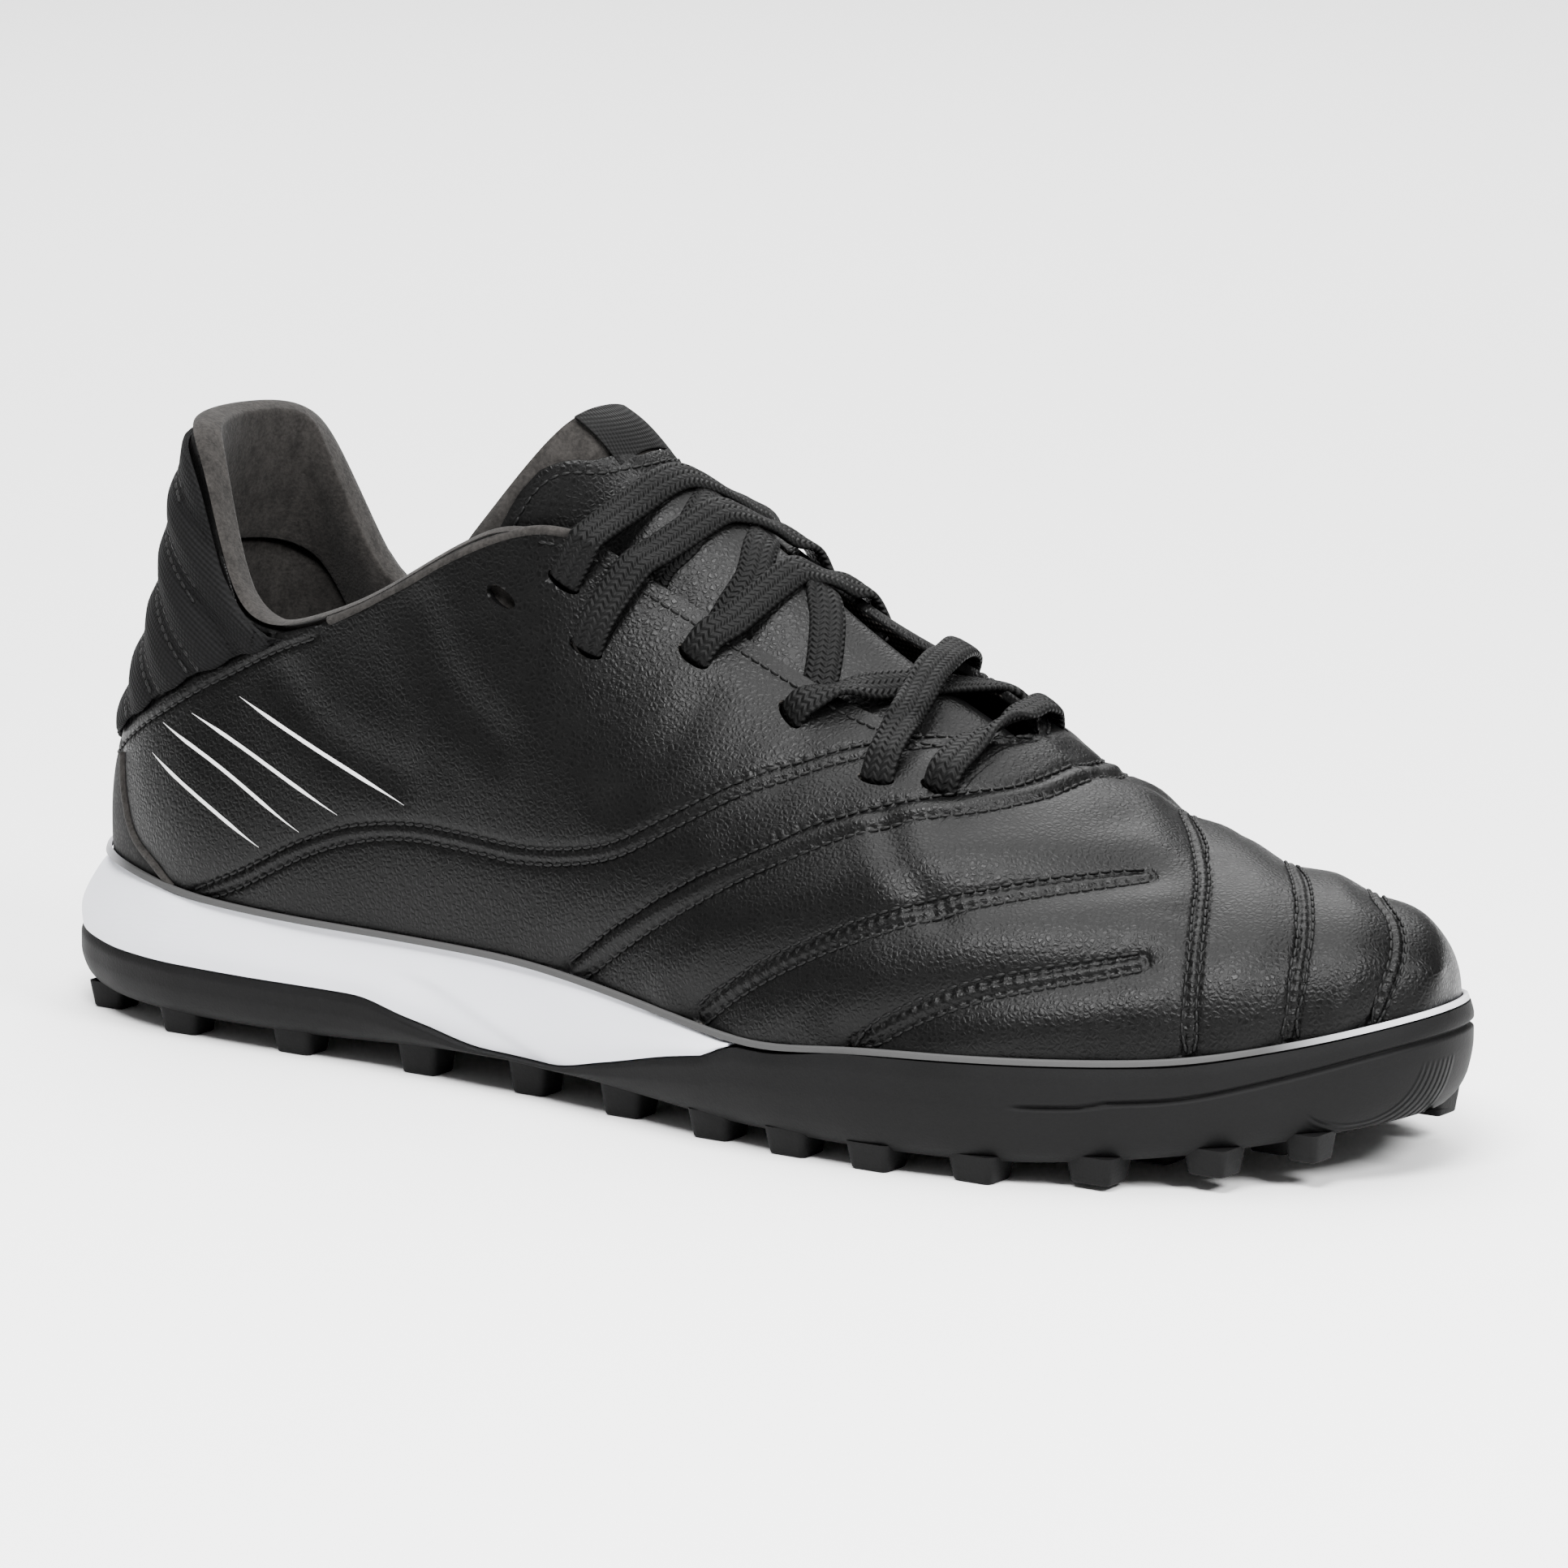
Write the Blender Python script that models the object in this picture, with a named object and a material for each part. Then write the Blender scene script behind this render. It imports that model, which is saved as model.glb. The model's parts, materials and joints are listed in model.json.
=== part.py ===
"""Turf shoe, right foot, empty and standing on its sole.

Metres, +Z up, +X from heel to toe, -Y the outer (lateral) side.
The origin is on the floor, below the middle of the shoe.
"""

import math

import bmesh
import bpy
import numpy as np

MM = 0.001

# Driving sizes
LENGTH = 298 * MM
BALL_WIDTH = 105 * MM
HEEL_HEIGHT = 115 * MM
INSTEP_HEIGHT = 105 * MM
TOE_HEIGHT = 51 * MM
HEEL_LEAN = 20.6 * MM
HEEL_STACK = 27 * MM
FORE_STACK = 22 * MM
PARTING_HEIGHT = 14 * MM
TOE_SPRING = 8.5 * MM
TOE_SPRING_FROM = 0.76
HEEL_SPRING = 1.2 * MM
HEEL_SPRING_TO = 0.07
ARCH_RISE = 2.5 * MM
ARCH_AT = 0.42
ARCH_REACH = 0.11
GAP = 0.3 * MM

# Walls and layers
UPPER_WALL = 2.0 * MM
INSOLE_THICK = 4.0 * MM
TONGUE_THICK = 4.5 * MM
LABEL_THICK = 0.8 * MM
PANEL_THICK = 1.6 * MM
PANEL_GAP = 0.5 * MM
LINING_THICK = 3.6 * MM
LINING_DEPTH = 26 * MM
LINING_LIFT = 0.9 * MM
LINING_GAP = 0.6 * MM
ROLL_HEIGHT = 2.2 * MM
RAND_HEIGHT = 1.1 * MM
RAND_WIDTH = 1.2 * MM

# How far the upper stands inside the sole's edge
HEEL_INSET = 7.8 * MM
TOE_INSET = 2.3 * MM
SIDE_INSET = 2.4 * MM

# Lugs and the sole's side
LUG_HEIGHT = 4.0 * MM
LUG_SINK = 1.2 * MM
LUG_TAPER = 0.8
LUG_CORNER = 0.3
LUG_INSET = 7.2 * MM
GROOVE_DEPTH = 0.9 * MM

# Laces
LACE_WIDTH = 6.6 * MM
LACE_THICK = 2.0 * MM
LACE_CLEAR = 0.95 * MM

# Steps of the meshes
SOLE_STEPS = 36
MIDSOLE_STEPS = 27
UPPER_STEPS = 44
UPPER_ROWS = 8
LACE_SIDES = 8
PANEL_COLUMNS = 16
PANEL_ROWS = 13
LINING_COLUMNS = 30
LABEL_COLUMNS = 4
LABEL_ROWS = 5

MATERIALS = {
    # name: colour, roughness, metallic
    "outsole_rubber": ((0.030, 0.030, 0.032, 1), 0.75, 0.0),
    "midsole_foam": ((0.72, 0.73, 0.78, 1), 0.55, 0.0),
    "rand_rubber": ((0.35, 0.35, 0.36, 1), 0.5, 0.0),
    "upper_leather": ((0.012, 0.012, 0.012, 1), 0.42, 0.0),
    "knit_panel": ((0.008, 0.008, 0.009, 1), 0.85, 0.0),
    "lining_suede": ((0.060, 0.050, 0.045, 1), 0.95, 0.0),
    "insole_fabric": ((0.020, 0.020, 0.020, 1), 0.9, 0.0),
    "lace_cord": ((0.008, 0.008, 0.008, 1), 0.8, 0.0),
    "label_cloth": ((0.010, 0.010, 0.010, 1), 0.7, 0.0),
}


class Table:
    """Rows of shares with named columns, read between its rows along the first column."""

    def __init__(self, names, rows):
        self.names = names.split()
        self.rows = np.array(rows, float)

    def __call__(self, name, place):
        xs = self.rows[:, 0]
        ys = self.rows[:, self.names.index(name)]
        steps = np.diff(xs)
        slopes = np.diff(ys) / steps
        tangents = np.zeros(len(xs))
        for k in range(1, len(xs) - 1):
            before, after = slopes[k - 1], slopes[k]
            if before * after > 0:
                near, far = 2 * steps[k] + steps[k - 1], steps[k] + 2 * steps[k - 1]
                tangents[k] = (near + far) / (near / before + far / after)
        tangents[0] = slopes[0]
        tangents[-1] = slopes[-1]
        place = min(max(place, xs[0]), xs[-1])
        k = min(int(np.searchsorted(xs, place, "right")) - 1, len(xs) - 2)
        t = (place - xs[k]) / steps[k]
        rise = ys[k] * (1 + 2 * t) * (1 - t) ** 2 + ys[k + 1] * t * t * (3 - 2 * t)
        return rise + steps[k] * t * (1 - t) * (tangents[k] * (1 - t) - tangents[k + 1] * t)


# The sole seen from above: middle line and half width, as shares of the ball width
PLAN = Table(
    "turn middle half",
    [
        (0.00, -0.005, 0.000),
        (0.09, -0.002, 0.172),
        (0.15, 0.000, 0.262),
        (0.20, -0.005, 0.314),
        (0.25, -0.007, 0.345),
        (0.30, -0.010, 0.352),
        (0.37, -0.022, 0.336),
        (0.44, -0.045, 0.331),
        (0.50, -0.052, 0.367),
        (0.56, -0.036, 0.436),
        (0.60, -0.016, 0.476),
        (0.64, 0.000, 0.495),
        (0.67, 0.012, 0.492),
        (0.71, 0.029, 0.471),
        (0.75, 0.043, 0.428),
        (0.80, 0.060, 0.364),
        (0.86, 0.074, 0.255),
        (0.92, 0.070, 0.148),
        (1.00, 0.057, 0.000),
    ],
)

# The top of the sole (feather line), as shares of the heel or forefoot stack
FEATHER = Table(
    "at height",
    [
        (0.00, 1.13 * HEEL_STACK),
        (0.09, 1.09 * HEEL_STACK),
        (0.17, 1.00 * HEEL_STACK),
        (0.30, 0.95 * HEEL_STACK),
        (0.40, 0.94 * HEEL_STACK),
        (0.48, 0.88 * HEEL_STACK),
        (0.56, 0.96 * FORE_STACK),
        (0.63, 0.86 * FORE_STACK),
        (0.70, 0.97 * FORE_STACK),
        (0.78, 1.00 * FORE_STACK),
        (0.88, 1.04 * FORE_STACK),
        (0.94, 1.16 * FORE_STACK),
        (1.00, 1.36 * FORE_STACK),
    ],
)

# The line on the side where the white midsole sits on the dark outsole
PARTING = Table(
    "at height",
    [
        (0.00, 1.10 * PARTING_HEIGHT),
        (0.10, 1.03 * PARTING_HEIGHT),
        (0.29, 1.00 * PARTING_HEIGHT),
        (0.34, 0.78 * PARTING_HEIGHT),
        (0.40, 0.56 * PARTING_HEIGHT),
        (0.45, 0.54 * PARTING_HEIGHT),
        (0.50, 0.74 * PARTING_HEIGHT),
        (0.56, 1.04 * PARTING_HEIGHT),
        (0.63, 1.30 * PARTING_HEIGHT),
    ],
)
MIDSOLE_END = 0.62
MIDSOLE_BLEND = 0.035
MIDSOLE_CUT = 0.012

# The outsole's side from its bottom edge to its top edge
OUTSOLE_SIDE = Table(
    "rise inset",
    [
        (0.00, 4.6 * MM),
        (0.10, 2.6 * MM),
        (0.30, 0.9 * MM),
        (0.60, 0.1 * MM),
        (0.85, 0.1 * MM),
        (1.00, 0.7 * MM),
    ],
)
OUTSOLE_RISES = (0.0, 0.12, 0.35, 0.54, 0.60, 0.66, 1.0)
GROOVE_RISE = 0.60
GROOVE_START = 0.77
GROOVE_FULL = 0.81

# The midsole's side, which leans in towards the upper at the heel
MIDSOLE_SIDE = Table(
    "rise inset",
    [
        (0.00, 0.5 * MM),
        (0.25, 0.0 * MM),
        (0.60, 0.6 * MM),
        (0.90, 1.2 * MM),
        (1.00, 1.8 * MM),
    ],
)
MIDSOLE_RISES = (0.0, 0.25, 0.6, 0.9, 1.0)
MIDSOLE_HEEL_LEAN = 6.0 * MM
MIDSOLE_LEAST = 0.4 * MM

# The upper's top edge: half widths as shares of the ball width, from the spine line
RIM = Table(
    "at outer inner outer_height inner_height",
    [
        (0.000, 0.000, 0.000, 1.000 * HEEL_HEIGHT, 1.000 * HEEL_HEIGHT),
        (0.012, 0.081, 0.081, 1.000 * HEEL_HEIGHT, 1.000 * HEEL_HEIGHT),
        (0.035, 0.148, 0.148, 0.990 * HEEL_HEIGHT, 0.990 * HEEL_HEIGHT),
        (0.065, 0.187, 0.187, 0.961 * HEEL_HEIGHT, 0.961 * HEEL_HEIGHT),
        (0.095, 0.210, 0.210, 0.895 * HEEL_HEIGHT, 0.875 * HEEL_HEIGHT),
        (0.120, 0.230, 0.230, 0.805 * HEEL_HEIGHT, 0.780 * HEEL_HEIGHT),
        (0.140, 0.242, 0.242, 0.727 * HEEL_HEIGHT, 0.705 * HEEL_HEIGHT),
        (0.160, 0.251, 0.251, 0.695 * HEEL_HEIGHT, 0.680 * HEEL_HEIGHT),
        (0.190, 0.268, 0.268, 0.690 * HEEL_HEIGHT, 0.682 * HEEL_HEIGHT),
        (0.225, 0.278, 0.278, 0.710 * HEEL_HEIGHT, 0.712 * HEEL_HEIGHT),
        (0.260, 0.276, 0.276, 0.741 * HEEL_HEIGHT, 0.745 * HEEL_HEIGHT),
        (0.300, 0.270, 0.270, 0.871 * INSTEP_HEIGHT, 0.876 * INSTEP_HEIGHT),
        (0.340, 0.256, 0.254, 0.941 * INSTEP_HEIGHT, 0.947 * INSTEP_HEIGHT),
        (0.375, 0.242, 0.234, 0.983 * INSTEP_HEIGHT, 0.990 * INSTEP_HEIGHT),
        (0.405, 0.232, 0.215, 1.000 * INSTEP_HEIGHT, 1.010 * INSTEP_HEIGHT),
        (0.430, 0.214, 0.196, 0.983 * INSTEP_HEIGHT, 1.003 * INSTEP_HEIGHT),
        (0.455, 0.195, 0.176, 0.930 * INSTEP_HEIGHT, 0.976 * INSTEP_HEIGHT),
        (0.500, 0.164, 0.126, 0.862 * INSTEP_HEIGHT, 0.933 * INSTEP_HEIGHT),
        (0.540, 0.148, 0.112, 0.812 * INSTEP_HEIGHT, 0.898 * INSTEP_HEIGHT),
        (0.580, 0.144, 0.098, 0.756 * INSTEP_HEIGHT, 0.855 * INSTEP_HEIGHT),
        (0.620, 0.152, 0.086, 0.706 * INSTEP_HEIGHT, 0.796 * INSTEP_HEIGHT),
        (0.660, 0.152, 0.076, 0.680 * INSTEP_HEIGHT, 0.743 * INSTEP_HEIGHT),
        (0.690, 0.150, 0.070, 0.684 * INSTEP_HEIGHT, 0.715 * INSTEP_HEIGHT),
        (0.712, 0.150, 0.070, 0.680 * INSTEP_HEIGHT, 0.680 * INSTEP_HEIGHT),
    ],
)
THROAT_ROUND = 0.655
THROAT_END = 0.712
SWELL_FROM = 0.2 * BALL_WIDTH

# The closed arch that the throat is cut from: height of its top on the outer and the inner side
CROWN = Table(
    "at outer inner",
    [
        (0.480, 0.960 * INSTEP_HEIGHT, 0.990 * INSTEP_HEIGHT),
        (0.540, 0.880 * INSTEP_HEIGHT, 0.930 * INSTEP_HEIGHT),
        (0.580, 0.822 * INSTEP_HEIGHT, 0.885 * INSTEP_HEIGHT),
        (0.620, 0.766 * INSTEP_HEIGHT, 0.824 * INSTEP_HEIGHT),
        (0.660, 0.728 * INSTEP_HEIGHT, 0.762 * INSTEP_HEIGHT),
        (0.690, 0.706 * INSTEP_HEIGHT, 0.722 * INSTEP_HEIGHT),
        (0.712, 0.680 * INSTEP_HEIGHT, 0.680 * INSTEP_HEIGHT),
        (0.750, 0.628 * INSTEP_HEIGHT, 0.622 * INSTEP_HEIGHT),
        (0.800, 0.565 * INSTEP_HEIGHT, 0.560 * INSTEP_HEIGHT),
        (0.850, 1.050 * TOE_HEIGHT, 1.050 * TOE_HEIGHT),
        (0.900, 1.000 * TOE_HEIGHT, 1.000 * TOE_HEIGHT),
        (0.940, 0.955 * TOE_HEIGHT, 0.955 * TOE_HEIGHT),
        (0.965, 0.910 * TOE_HEIGHT, 0.910 * TOE_HEIGHT),
        (0.985, 0.840 * TOE_HEIGHT, 0.840 * TOE_HEIGHT),
        (1.000, 0.725 * TOE_HEIGHT, 0.725 * TOE_HEIGHT),
    ],
)
CROWN_START = 0.50
CROWN_FULL = 0.62

# The line above the foot that the half widths of the top edge are measured from
SPINE = Table(
    "at middle",
    [
        (0.00, -0.005),
        (0.20, -0.008),
        (0.35, 0.000),
        (0.50, 0.020),
        (0.62, 0.028),
        (0.80, 0.042),
        (1.00, 0.057),
    ],
)

# How each section of the upper bends on its way from the feather line to its top edge
BEND = Table(
    "at swell rise shoulder drop",
    [
        (0.00, 0.020, 0.36, 0.30, 0.34),
        (0.10, 0.026, 0.36, 0.34, 0.36),
        (0.25, 0.022, 0.40, 0.30, 0.36),
        (0.40, 0.016, 0.42, 0.42, 0.30),
        (0.50, 0.012, 0.42, 0.46, 0.20),
        (0.60, 0.012, 0.44, 0.44, 0.06),
        (0.66, 0.012, 0.46, 0.43, 0.00),
        (0.75, 0.014, 0.48, 0.44, 0.00),
        (0.90, 0.014, 0.54, 0.50, 0.00),
        (1.00, 0.006, 0.58, 0.56, 0.00),
    ],
)

# The heel's back: how far it leans towards the toe at each height
HEEL_CURVE = Table(
    "height lean",
    [
        (0.24, 0.000 * HEEL_LEAN),
        (0.36, 0.000 * HEEL_LEAN),
        (0.42, 0.058 * HEEL_LEAN),
        (0.50, 0.214 * HEEL_LEAN),
        (0.59, 0.437 * HEEL_LEAN),
        (0.67, 0.602 * HEEL_LEAN),
        (0.75, 0.709 * HEEL_LEAN),
        (0.87, 0.825 * HEEL_LEAN),
        (0.95, 0.922 * HEEL_LEAN),
        (1.00, 1.000 * HEEL_LEAN),
    ],
)
LEAN_REACH = 62 * MM
LEAN_FADE = 1.4

# The lower edge of the knit panel round the heel
PANEL_EDGE = Table(
    "at height",
    [
        (0.000, 0.430 * HEEL_HEIGHT),
        (0.050, 0.510 * HEEL_HEIGHT),
        (0.110, 0.600 * HEEL_HEIGHT),
        (0.190, 0.672 * HEEL_HEIGHT),
        (0.240, 0.712 * HEEL_HEIGHT),
    ],
)
PANEL_RIB_PITCH = 10.5 * MM
PANEL_RIB_FIRST = 46 * MM
PANEL_RIB_FALL = 0.7
PANEL_END = 0.205
PANEL_TOP = 0.97
PANEL_SEAM = 0.25
LINING_END = 0.395
LINING_THIN = 0.8
LABEL_START = 0.88
LABEL_TOP = 0.995
LABEL_HALF = 0.42

# The tongue's top face along its crest, from its front end under the vamp to its top edge
TONGUE = Table(
    "at x height half drop back thick arch lean",
    [
        (0.00, 0.735, 0.595 * INSTEP_HEIGHT, 0.130, 0.060, 0.000, 0.45, 1.5, 0.000),
        (0.08, 0.705, 0.634 * INSTEP_HEIGHT, 0.150, 0.085, 0.000, 0.50, 1.5, 0.000),
        (0.16, 0.675, 0.680 * INSTEP_HEIGHT, 0.165, 0.110, 0.000, 0.60, 1.5, 0.000),
        (0.26, 0.640, 0.735 * INSTEP_HEIGHT, 0.172, 0.135, 0.000, 0.70, 1.5, -0.006),
        (0.42, 0.584, 0.830 * INSTEP_HEIGHT, 0.177, 0.178, 0.000, 0.80, 1.4, -0.008),
        (0.58, 0.530, 0.935 * INSTEP_HEIGHT, 0.180, 0.205, 0.010, 0.90, 1.5, -0.010),
        (0.72, 0.480, 1.020 * INSTEP_HEIGHT, 0.176, 0.198, 0.040, 1.00, 1.8, -0.018),
        (0.84, 0.448, 1.075 * INSTEP_HEIGHT, 0.178, 0.215, 0.085, 1.00, 2.4, -0.020),
        (0.94, 0.420, 1.155 * INSTEP_HEIGHT, 0.174, 0.235, 0.150, 1.00, 3.4, -0.045),
        (1.00, 0.406, 1.178 * INSTEP_HEIGHT, 0.168, 0.250, 0.185, 0.80, 4.0, -0.055),
    ],
)
TONGUE_STEPS = 14
TONGUE_COLUMNS = 10

# Laces: for each end of a run its place as a share of the length, and how far down the upper's
# side it lies as a share of the instep height
LACE_RUNS = {
    # name: near place, near depth, far place, far depth
    "lace_top": [(0.4295, 0.105, 0.4900, 0.029)],
    "lace_second": [(0.4513, 0.190, 0.5302, 0.048)],
    "lace_third": [(0.5168, 0.086, 0.5705, 0.048)],
    "lace_crossed": [(0.5856, 0.086, 0.6812, 0.048), (0.6594, 0.124, 0.6309, 0.057)],
    "lace_front": [(0.6980, 0.133, 0.6980, 0.057)],
}
LACE_SMOOTH_ANGLE = 80
LACE_SIDE_STEPS = 3
LACE_MIDDLE_STEPS = 8


def plan_turn(share):
    """Share of a half turn for a share of the length: small steps at heel and toe."""
    return math.acos(1 - 2 * min(max(share, 0.0), 1.0)) / math.pi


def plan_share(turn):
    return (1 - math.cos(math.pi * turn)) / 2


def outline_point(turn, side):
    middle = PLAN("middle", turn) * BALL_WIDTH
    half = PLAN("half", turn) * BALL_WIDTH
    return np.array([plan_share(turn) * LENGTH, middle + side * half])


def edge_shift():
    """Moves the shoe so that the sole's widest places lie evenly about the X axis."""
    turns = np.linspace(0, 1, 721)
    outer = min(outline_point(turn, -1)[1] for turn in turns)
    inner = max(outline_point(turn, 1)[1] for turn in turns)
    return np.array([-LENGTH / 2, -(outer + inner) / 2, 0.0])


SHIFT = edge_shift()


def ring_order(steps):
    """Heel tip, outer side, toe tip, inner side: (step, side) round a closed ring."""
    outer = [(k, -1) for k in range(steps + 1)]
    inner = [(k, 1) for k in range(steps - 1, 0, -1)]
    return outer + inner


def plan_ring(inset, turns=None):
    """The sole's outline moved inwards by an inset, which may be a function of the place."""
    turns = turns if turns is not None else np.linspace(0, 1, SOLE_STEPS + 1)
    tiny = 0.004
    ring = []
    for k, side in ring_order(len(turns) - 1):
        turn = turns[k]
        point = outline_point(turn, side)
        ahead = outline_point(min(turn + tiny, 1), side)
        behind = outline_point(max(turn - tiny, 0), side)
        if turn < tiny:
            behind = outline_point(tiny, -side)
        if turn > 1 - tiny:
            ahead = outline_point(1 - tiny, -side)
        tangent = ahead - behind
        normal = np.array([-tangent[1], tangent[0]]) * side
        normal /= np.linalg.norm(normal)
        depth = inset(point[0] / LENGTH) if callable(inset) else inset
        ring.append(point - normal * depth)
    return np.array(ring)


def smooth_step(low, high, value):
    t = min(max((value - low) / (high - low), 0.0), 1.0)
    return t * t * (3 - 2 * t)


def floor_line(share):
    """Height of the lugs' tips: flat under heel and ball, rising at the toe and the heel's edge."""
    toe = TOE_SPRING * max((share - TOE_SPRING_FROM) / (1 - TOE_SPRING_FROM), 0.0) ** 2
    heel = HEEL_SPRING * max(1 - share / HEEL_SPRING_TO, 0.0) ** 2
    return toe + heel


def plate_line(share):
    """Height of the outsole's underside between the lugs."""
    arch = ARCH_RISE * math.exp(-(((share - ARCH_AT) / ARCH_REACH) ** 2))
    return LUG_HEIGHT + floor_line(share) + arch


def outsole_top(share):
    if share >= MIDSOLE_END:
        return FEATHER("height", share)
    blend = smooth_step(MIDSOLE_END - MIDSOLE_BLEND, MIDSOLE_END, share)
    return PARTING("height", share) * (1 - blend) + FEATHER("height", share) * blend


def material(name):
    colour, roughness, metallic = MATERIALS[name]
    made = bpy.data.materials.new(name)
    made.use_nodes = True
    shader = made.node_tree.nodes["Principled BSDF"]
    shader.inputs["Base Color"].default_value = colour
    shader.inputs["Roughness"].default_value = roughness
    shader.inputs["Metallic"].default_value = metallic
    return made


def add_object(name, points, faces, finish, smooth_angle=40):
    mesh = bpy.data.meshes.new(name)
    mesh.from_pydata([tuple(np.asarray(p) + SHIFT) for p in points], [], faces)
    builder = bmesh.new()
    builder.from_mesh(mesh)
    bmesh.ops.recalc_face_normals(builder, faces=builder.faces)
    builder.to_mesh(mesh)
    builder.free()
    mesh.shade_smooth()
    mesh.set_sharp_from_angle(angle=math.radians(smooth_angle))
    mesh.materials.append(finish)
    made = bpy.data.objects.new(name, mesh)
    bpy.context.scene.collection.objects.link(made)
    return made


def ladder(steps, first, flip):
    """Rungs of quads across a ring, from its outer to its inner side."""
    count = 2 * steps
    faces = []
    for k in range(steps):
        a, b = k, k + 1
        c, d = (count - k - 1) % count, (count - k) % count
        face = [a, b] if k == steps - 1 else [a, b, c]
        if k == 0:
            face = [a, b, c]
        elif k == steps - 1:
            face = [a, b, d]
        else:
            face = [a, b, c, d]
        face = [first + i for i in face]
        faces.append(face[::-1] if flip else face)
    return faces


def loft_rings(rings):
    """Points and faces of a closed solid through rings of equal count, bottom to top."""
    count = len(rings[0])
    steps = count // 2
    points = [p for ring in rings for p in ring]
    faces = ladder(steps, 0, True)
    for level in range(len(rings) - 1):
        low, high = level * count, (level + 1) * count
        for k in range(count):
            n = (k + 1) % count
            faces.append((low + k, low + n, high + n, high + k))
    return points, faces + ladder(steps, (len(rings) - 1) * count, False)


def raise_ring(ring, height):
    return [np.array([x, y, height(x / LENGTH)]) for x, y in ring]


def make_outsole(finish):
    rings = []
    for rise in OUTSOLE_RISES:
        groove = GROOVE_DEPTH if rise == GROOVE_RISE else 0.0

        def inset(share, rise=rise, groove=groove):
            cut = groove * smooth_step(GROOVE_START, GROOVE_FULL, share)
            return OUTSOLE_SIDE("inset", rise) + cut

        def height(share, rise=rise):
            low = plate_line(share)
            return low + (outsole_top(share) - low) * rise

        rings.append(raise_ring(plan_ring(inset), height))
    body = add_object("outsole", *loft_rings(rings), finish)
    lugs = make_lugs(finish)
    union(body, lugs)
    return body


def union(body, other):
    modifier = body.modifiers.new("joined", "BOOLEAN")
    modifier.operation = "UNION"
    modifier.solver = "EXACT"
    modifier.object = other
    other.hide_render = True
    other.display_type = "WIRE"


# Rows of lugs under the sole: place along the length, lugs across, their length and width
LUGS = Table(
    "at across long wide",
    [
        (0.055, 3, 8.5 * MM, 7.5 * MM),
        (0.140, 4, 9.5 * MM, 8.0 * MM),
        (0.235, 4, 9.5 * MM, 8.0 * MM),
        (0.335, 3, 9.5 * MM, 8.0 * MM),
        (0.425, 3, 9.0 * MM, 8.0 * MM),
        (0.507, 3, 9.5 * MM, 8.0 * MM),
        (0.585, 4, 9.5 * MM, 8.5 * MM),
        (0.647, 5, 9.5 * MM, 8.5 * MM),
        (0.708, 5, 9.5 * MM, 9.0 * MM),
        (0.775, 5, 10.0 * MM, 9.0 * MM),
        (0.842, 5, 10.0 * MM, 8.5 * MM),
        (0.902, 4, 9.0 * MM, 8.5 * MM),
        (0.945, 2, 7.0 * MM, 8.0 * MM),
    ],
)


def make_lugs(finish):
    points, faces = [], []
    for share, across, long, wide in LUGS.rows:
        outer = outline_point(plan_turn(share), -1)[1] + LUG_INSET
        inner = outline_point(plan_turn(share), 1)[1] - LUG_INSET
        for y in np.linspace(outer, inner, int(across)):
            lug_points, lug_faces = lug(share, y, long, wide)
            faces += [[i + len(points) for i in face] for face in lug_faces]
            points += lug_points
    return add_object("lug_shapes", points, faces, finish)


def lug(share, y, long, wide):
    """A block with cut corners, narrower at its tip, its foot sunk into the plate."""
    shape = [(1, LUG_CORNER - 1), (1, 1 - LUG_CORNER), (1 - LUG_CORNER, 1), (LUG_CORNER - 1, 1)]
    shape += [(-a, -b) for a, b in shape]
    tip = floor_line(share)
    top = plate_line(share) + LUG_SINK
    points = []
    for z, size in ((top, 1.0), (tip, LUG_TAPER)):
        for a, b in shape:
            x = share * LENGTH + a * long / 2 * size
            points.append(np.array([x, y + b * wide / 2 * size, z]))
    count = len(shape)
    faces = [list(range(count)), [count + k for k in range(count)][::-1]]
    for k in range(count):
        n = (k + 1) % count
        faces.append([k, count + k, count + n, n])
    return points, faces


def make_midsole(finish):
    end = plan_turn(MIDSOLE_END - MIDSOLE_CUT)
    turns = np.linspace(0, end, MIDSOLE_STEPS + 1)
    rings = []
    for rise in MIDSOLE_RISES:

        def inset(share, rise=rise):
            lean = MIDSOLE_HEEL_LEAN * rise * rise * (1 - smooth_step(0.0, 0.16, share))
            return MIDSOLE_SIDE("inset", rise) + lean

        def height(share, rise=rise):
            low = outsole_top(share) + GAP
            high = max(FEATHER("height", share), low + MIDSOLE_LEAST)
            return low + (high - low) * rise

        rings.append(raise_ring(open_ring(inset, turns), height))
    return add_object("midsole", *loft_open(rings), finish)


def open_ring(inset, turns):
    """The outline from the heel tip to a cut across the foot, outer side then inner side."""
    whole = plan_ring(inset, np.append(turns, 1.0))
    steps = len(turns)
    return np.array([whole[k] for k in range(2 * steps) if k != steps])


def loft_open(rings):
    """A closed solid through rings whose toe end is cut straight across."""
    count = len(rings[0])
    half = count // 2
    points = [p for ring in rings for p in ring]
    faces = []
    for level in range(len(rings) - 1):
        low, high = level * count, (level + 1) * count
        for k in range(count):
            n = (k + 1) % count
            faces.append((low + k, low + n, high + n, high + k))
    for first, flip in ((0, True), ((len(rings) - 1) * count, False)):
        for k in range(half):
            face = [k, k + 1, count - k - 1, (count - k) % count]
            if k == 0:
                face = [0, 1, count - 1]
            face = [first + i for i in dict.fromkeys(face)]
            if len(face) > 2:
                faces.append(face[::-1] if flip else face)
    return points, faces


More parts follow.
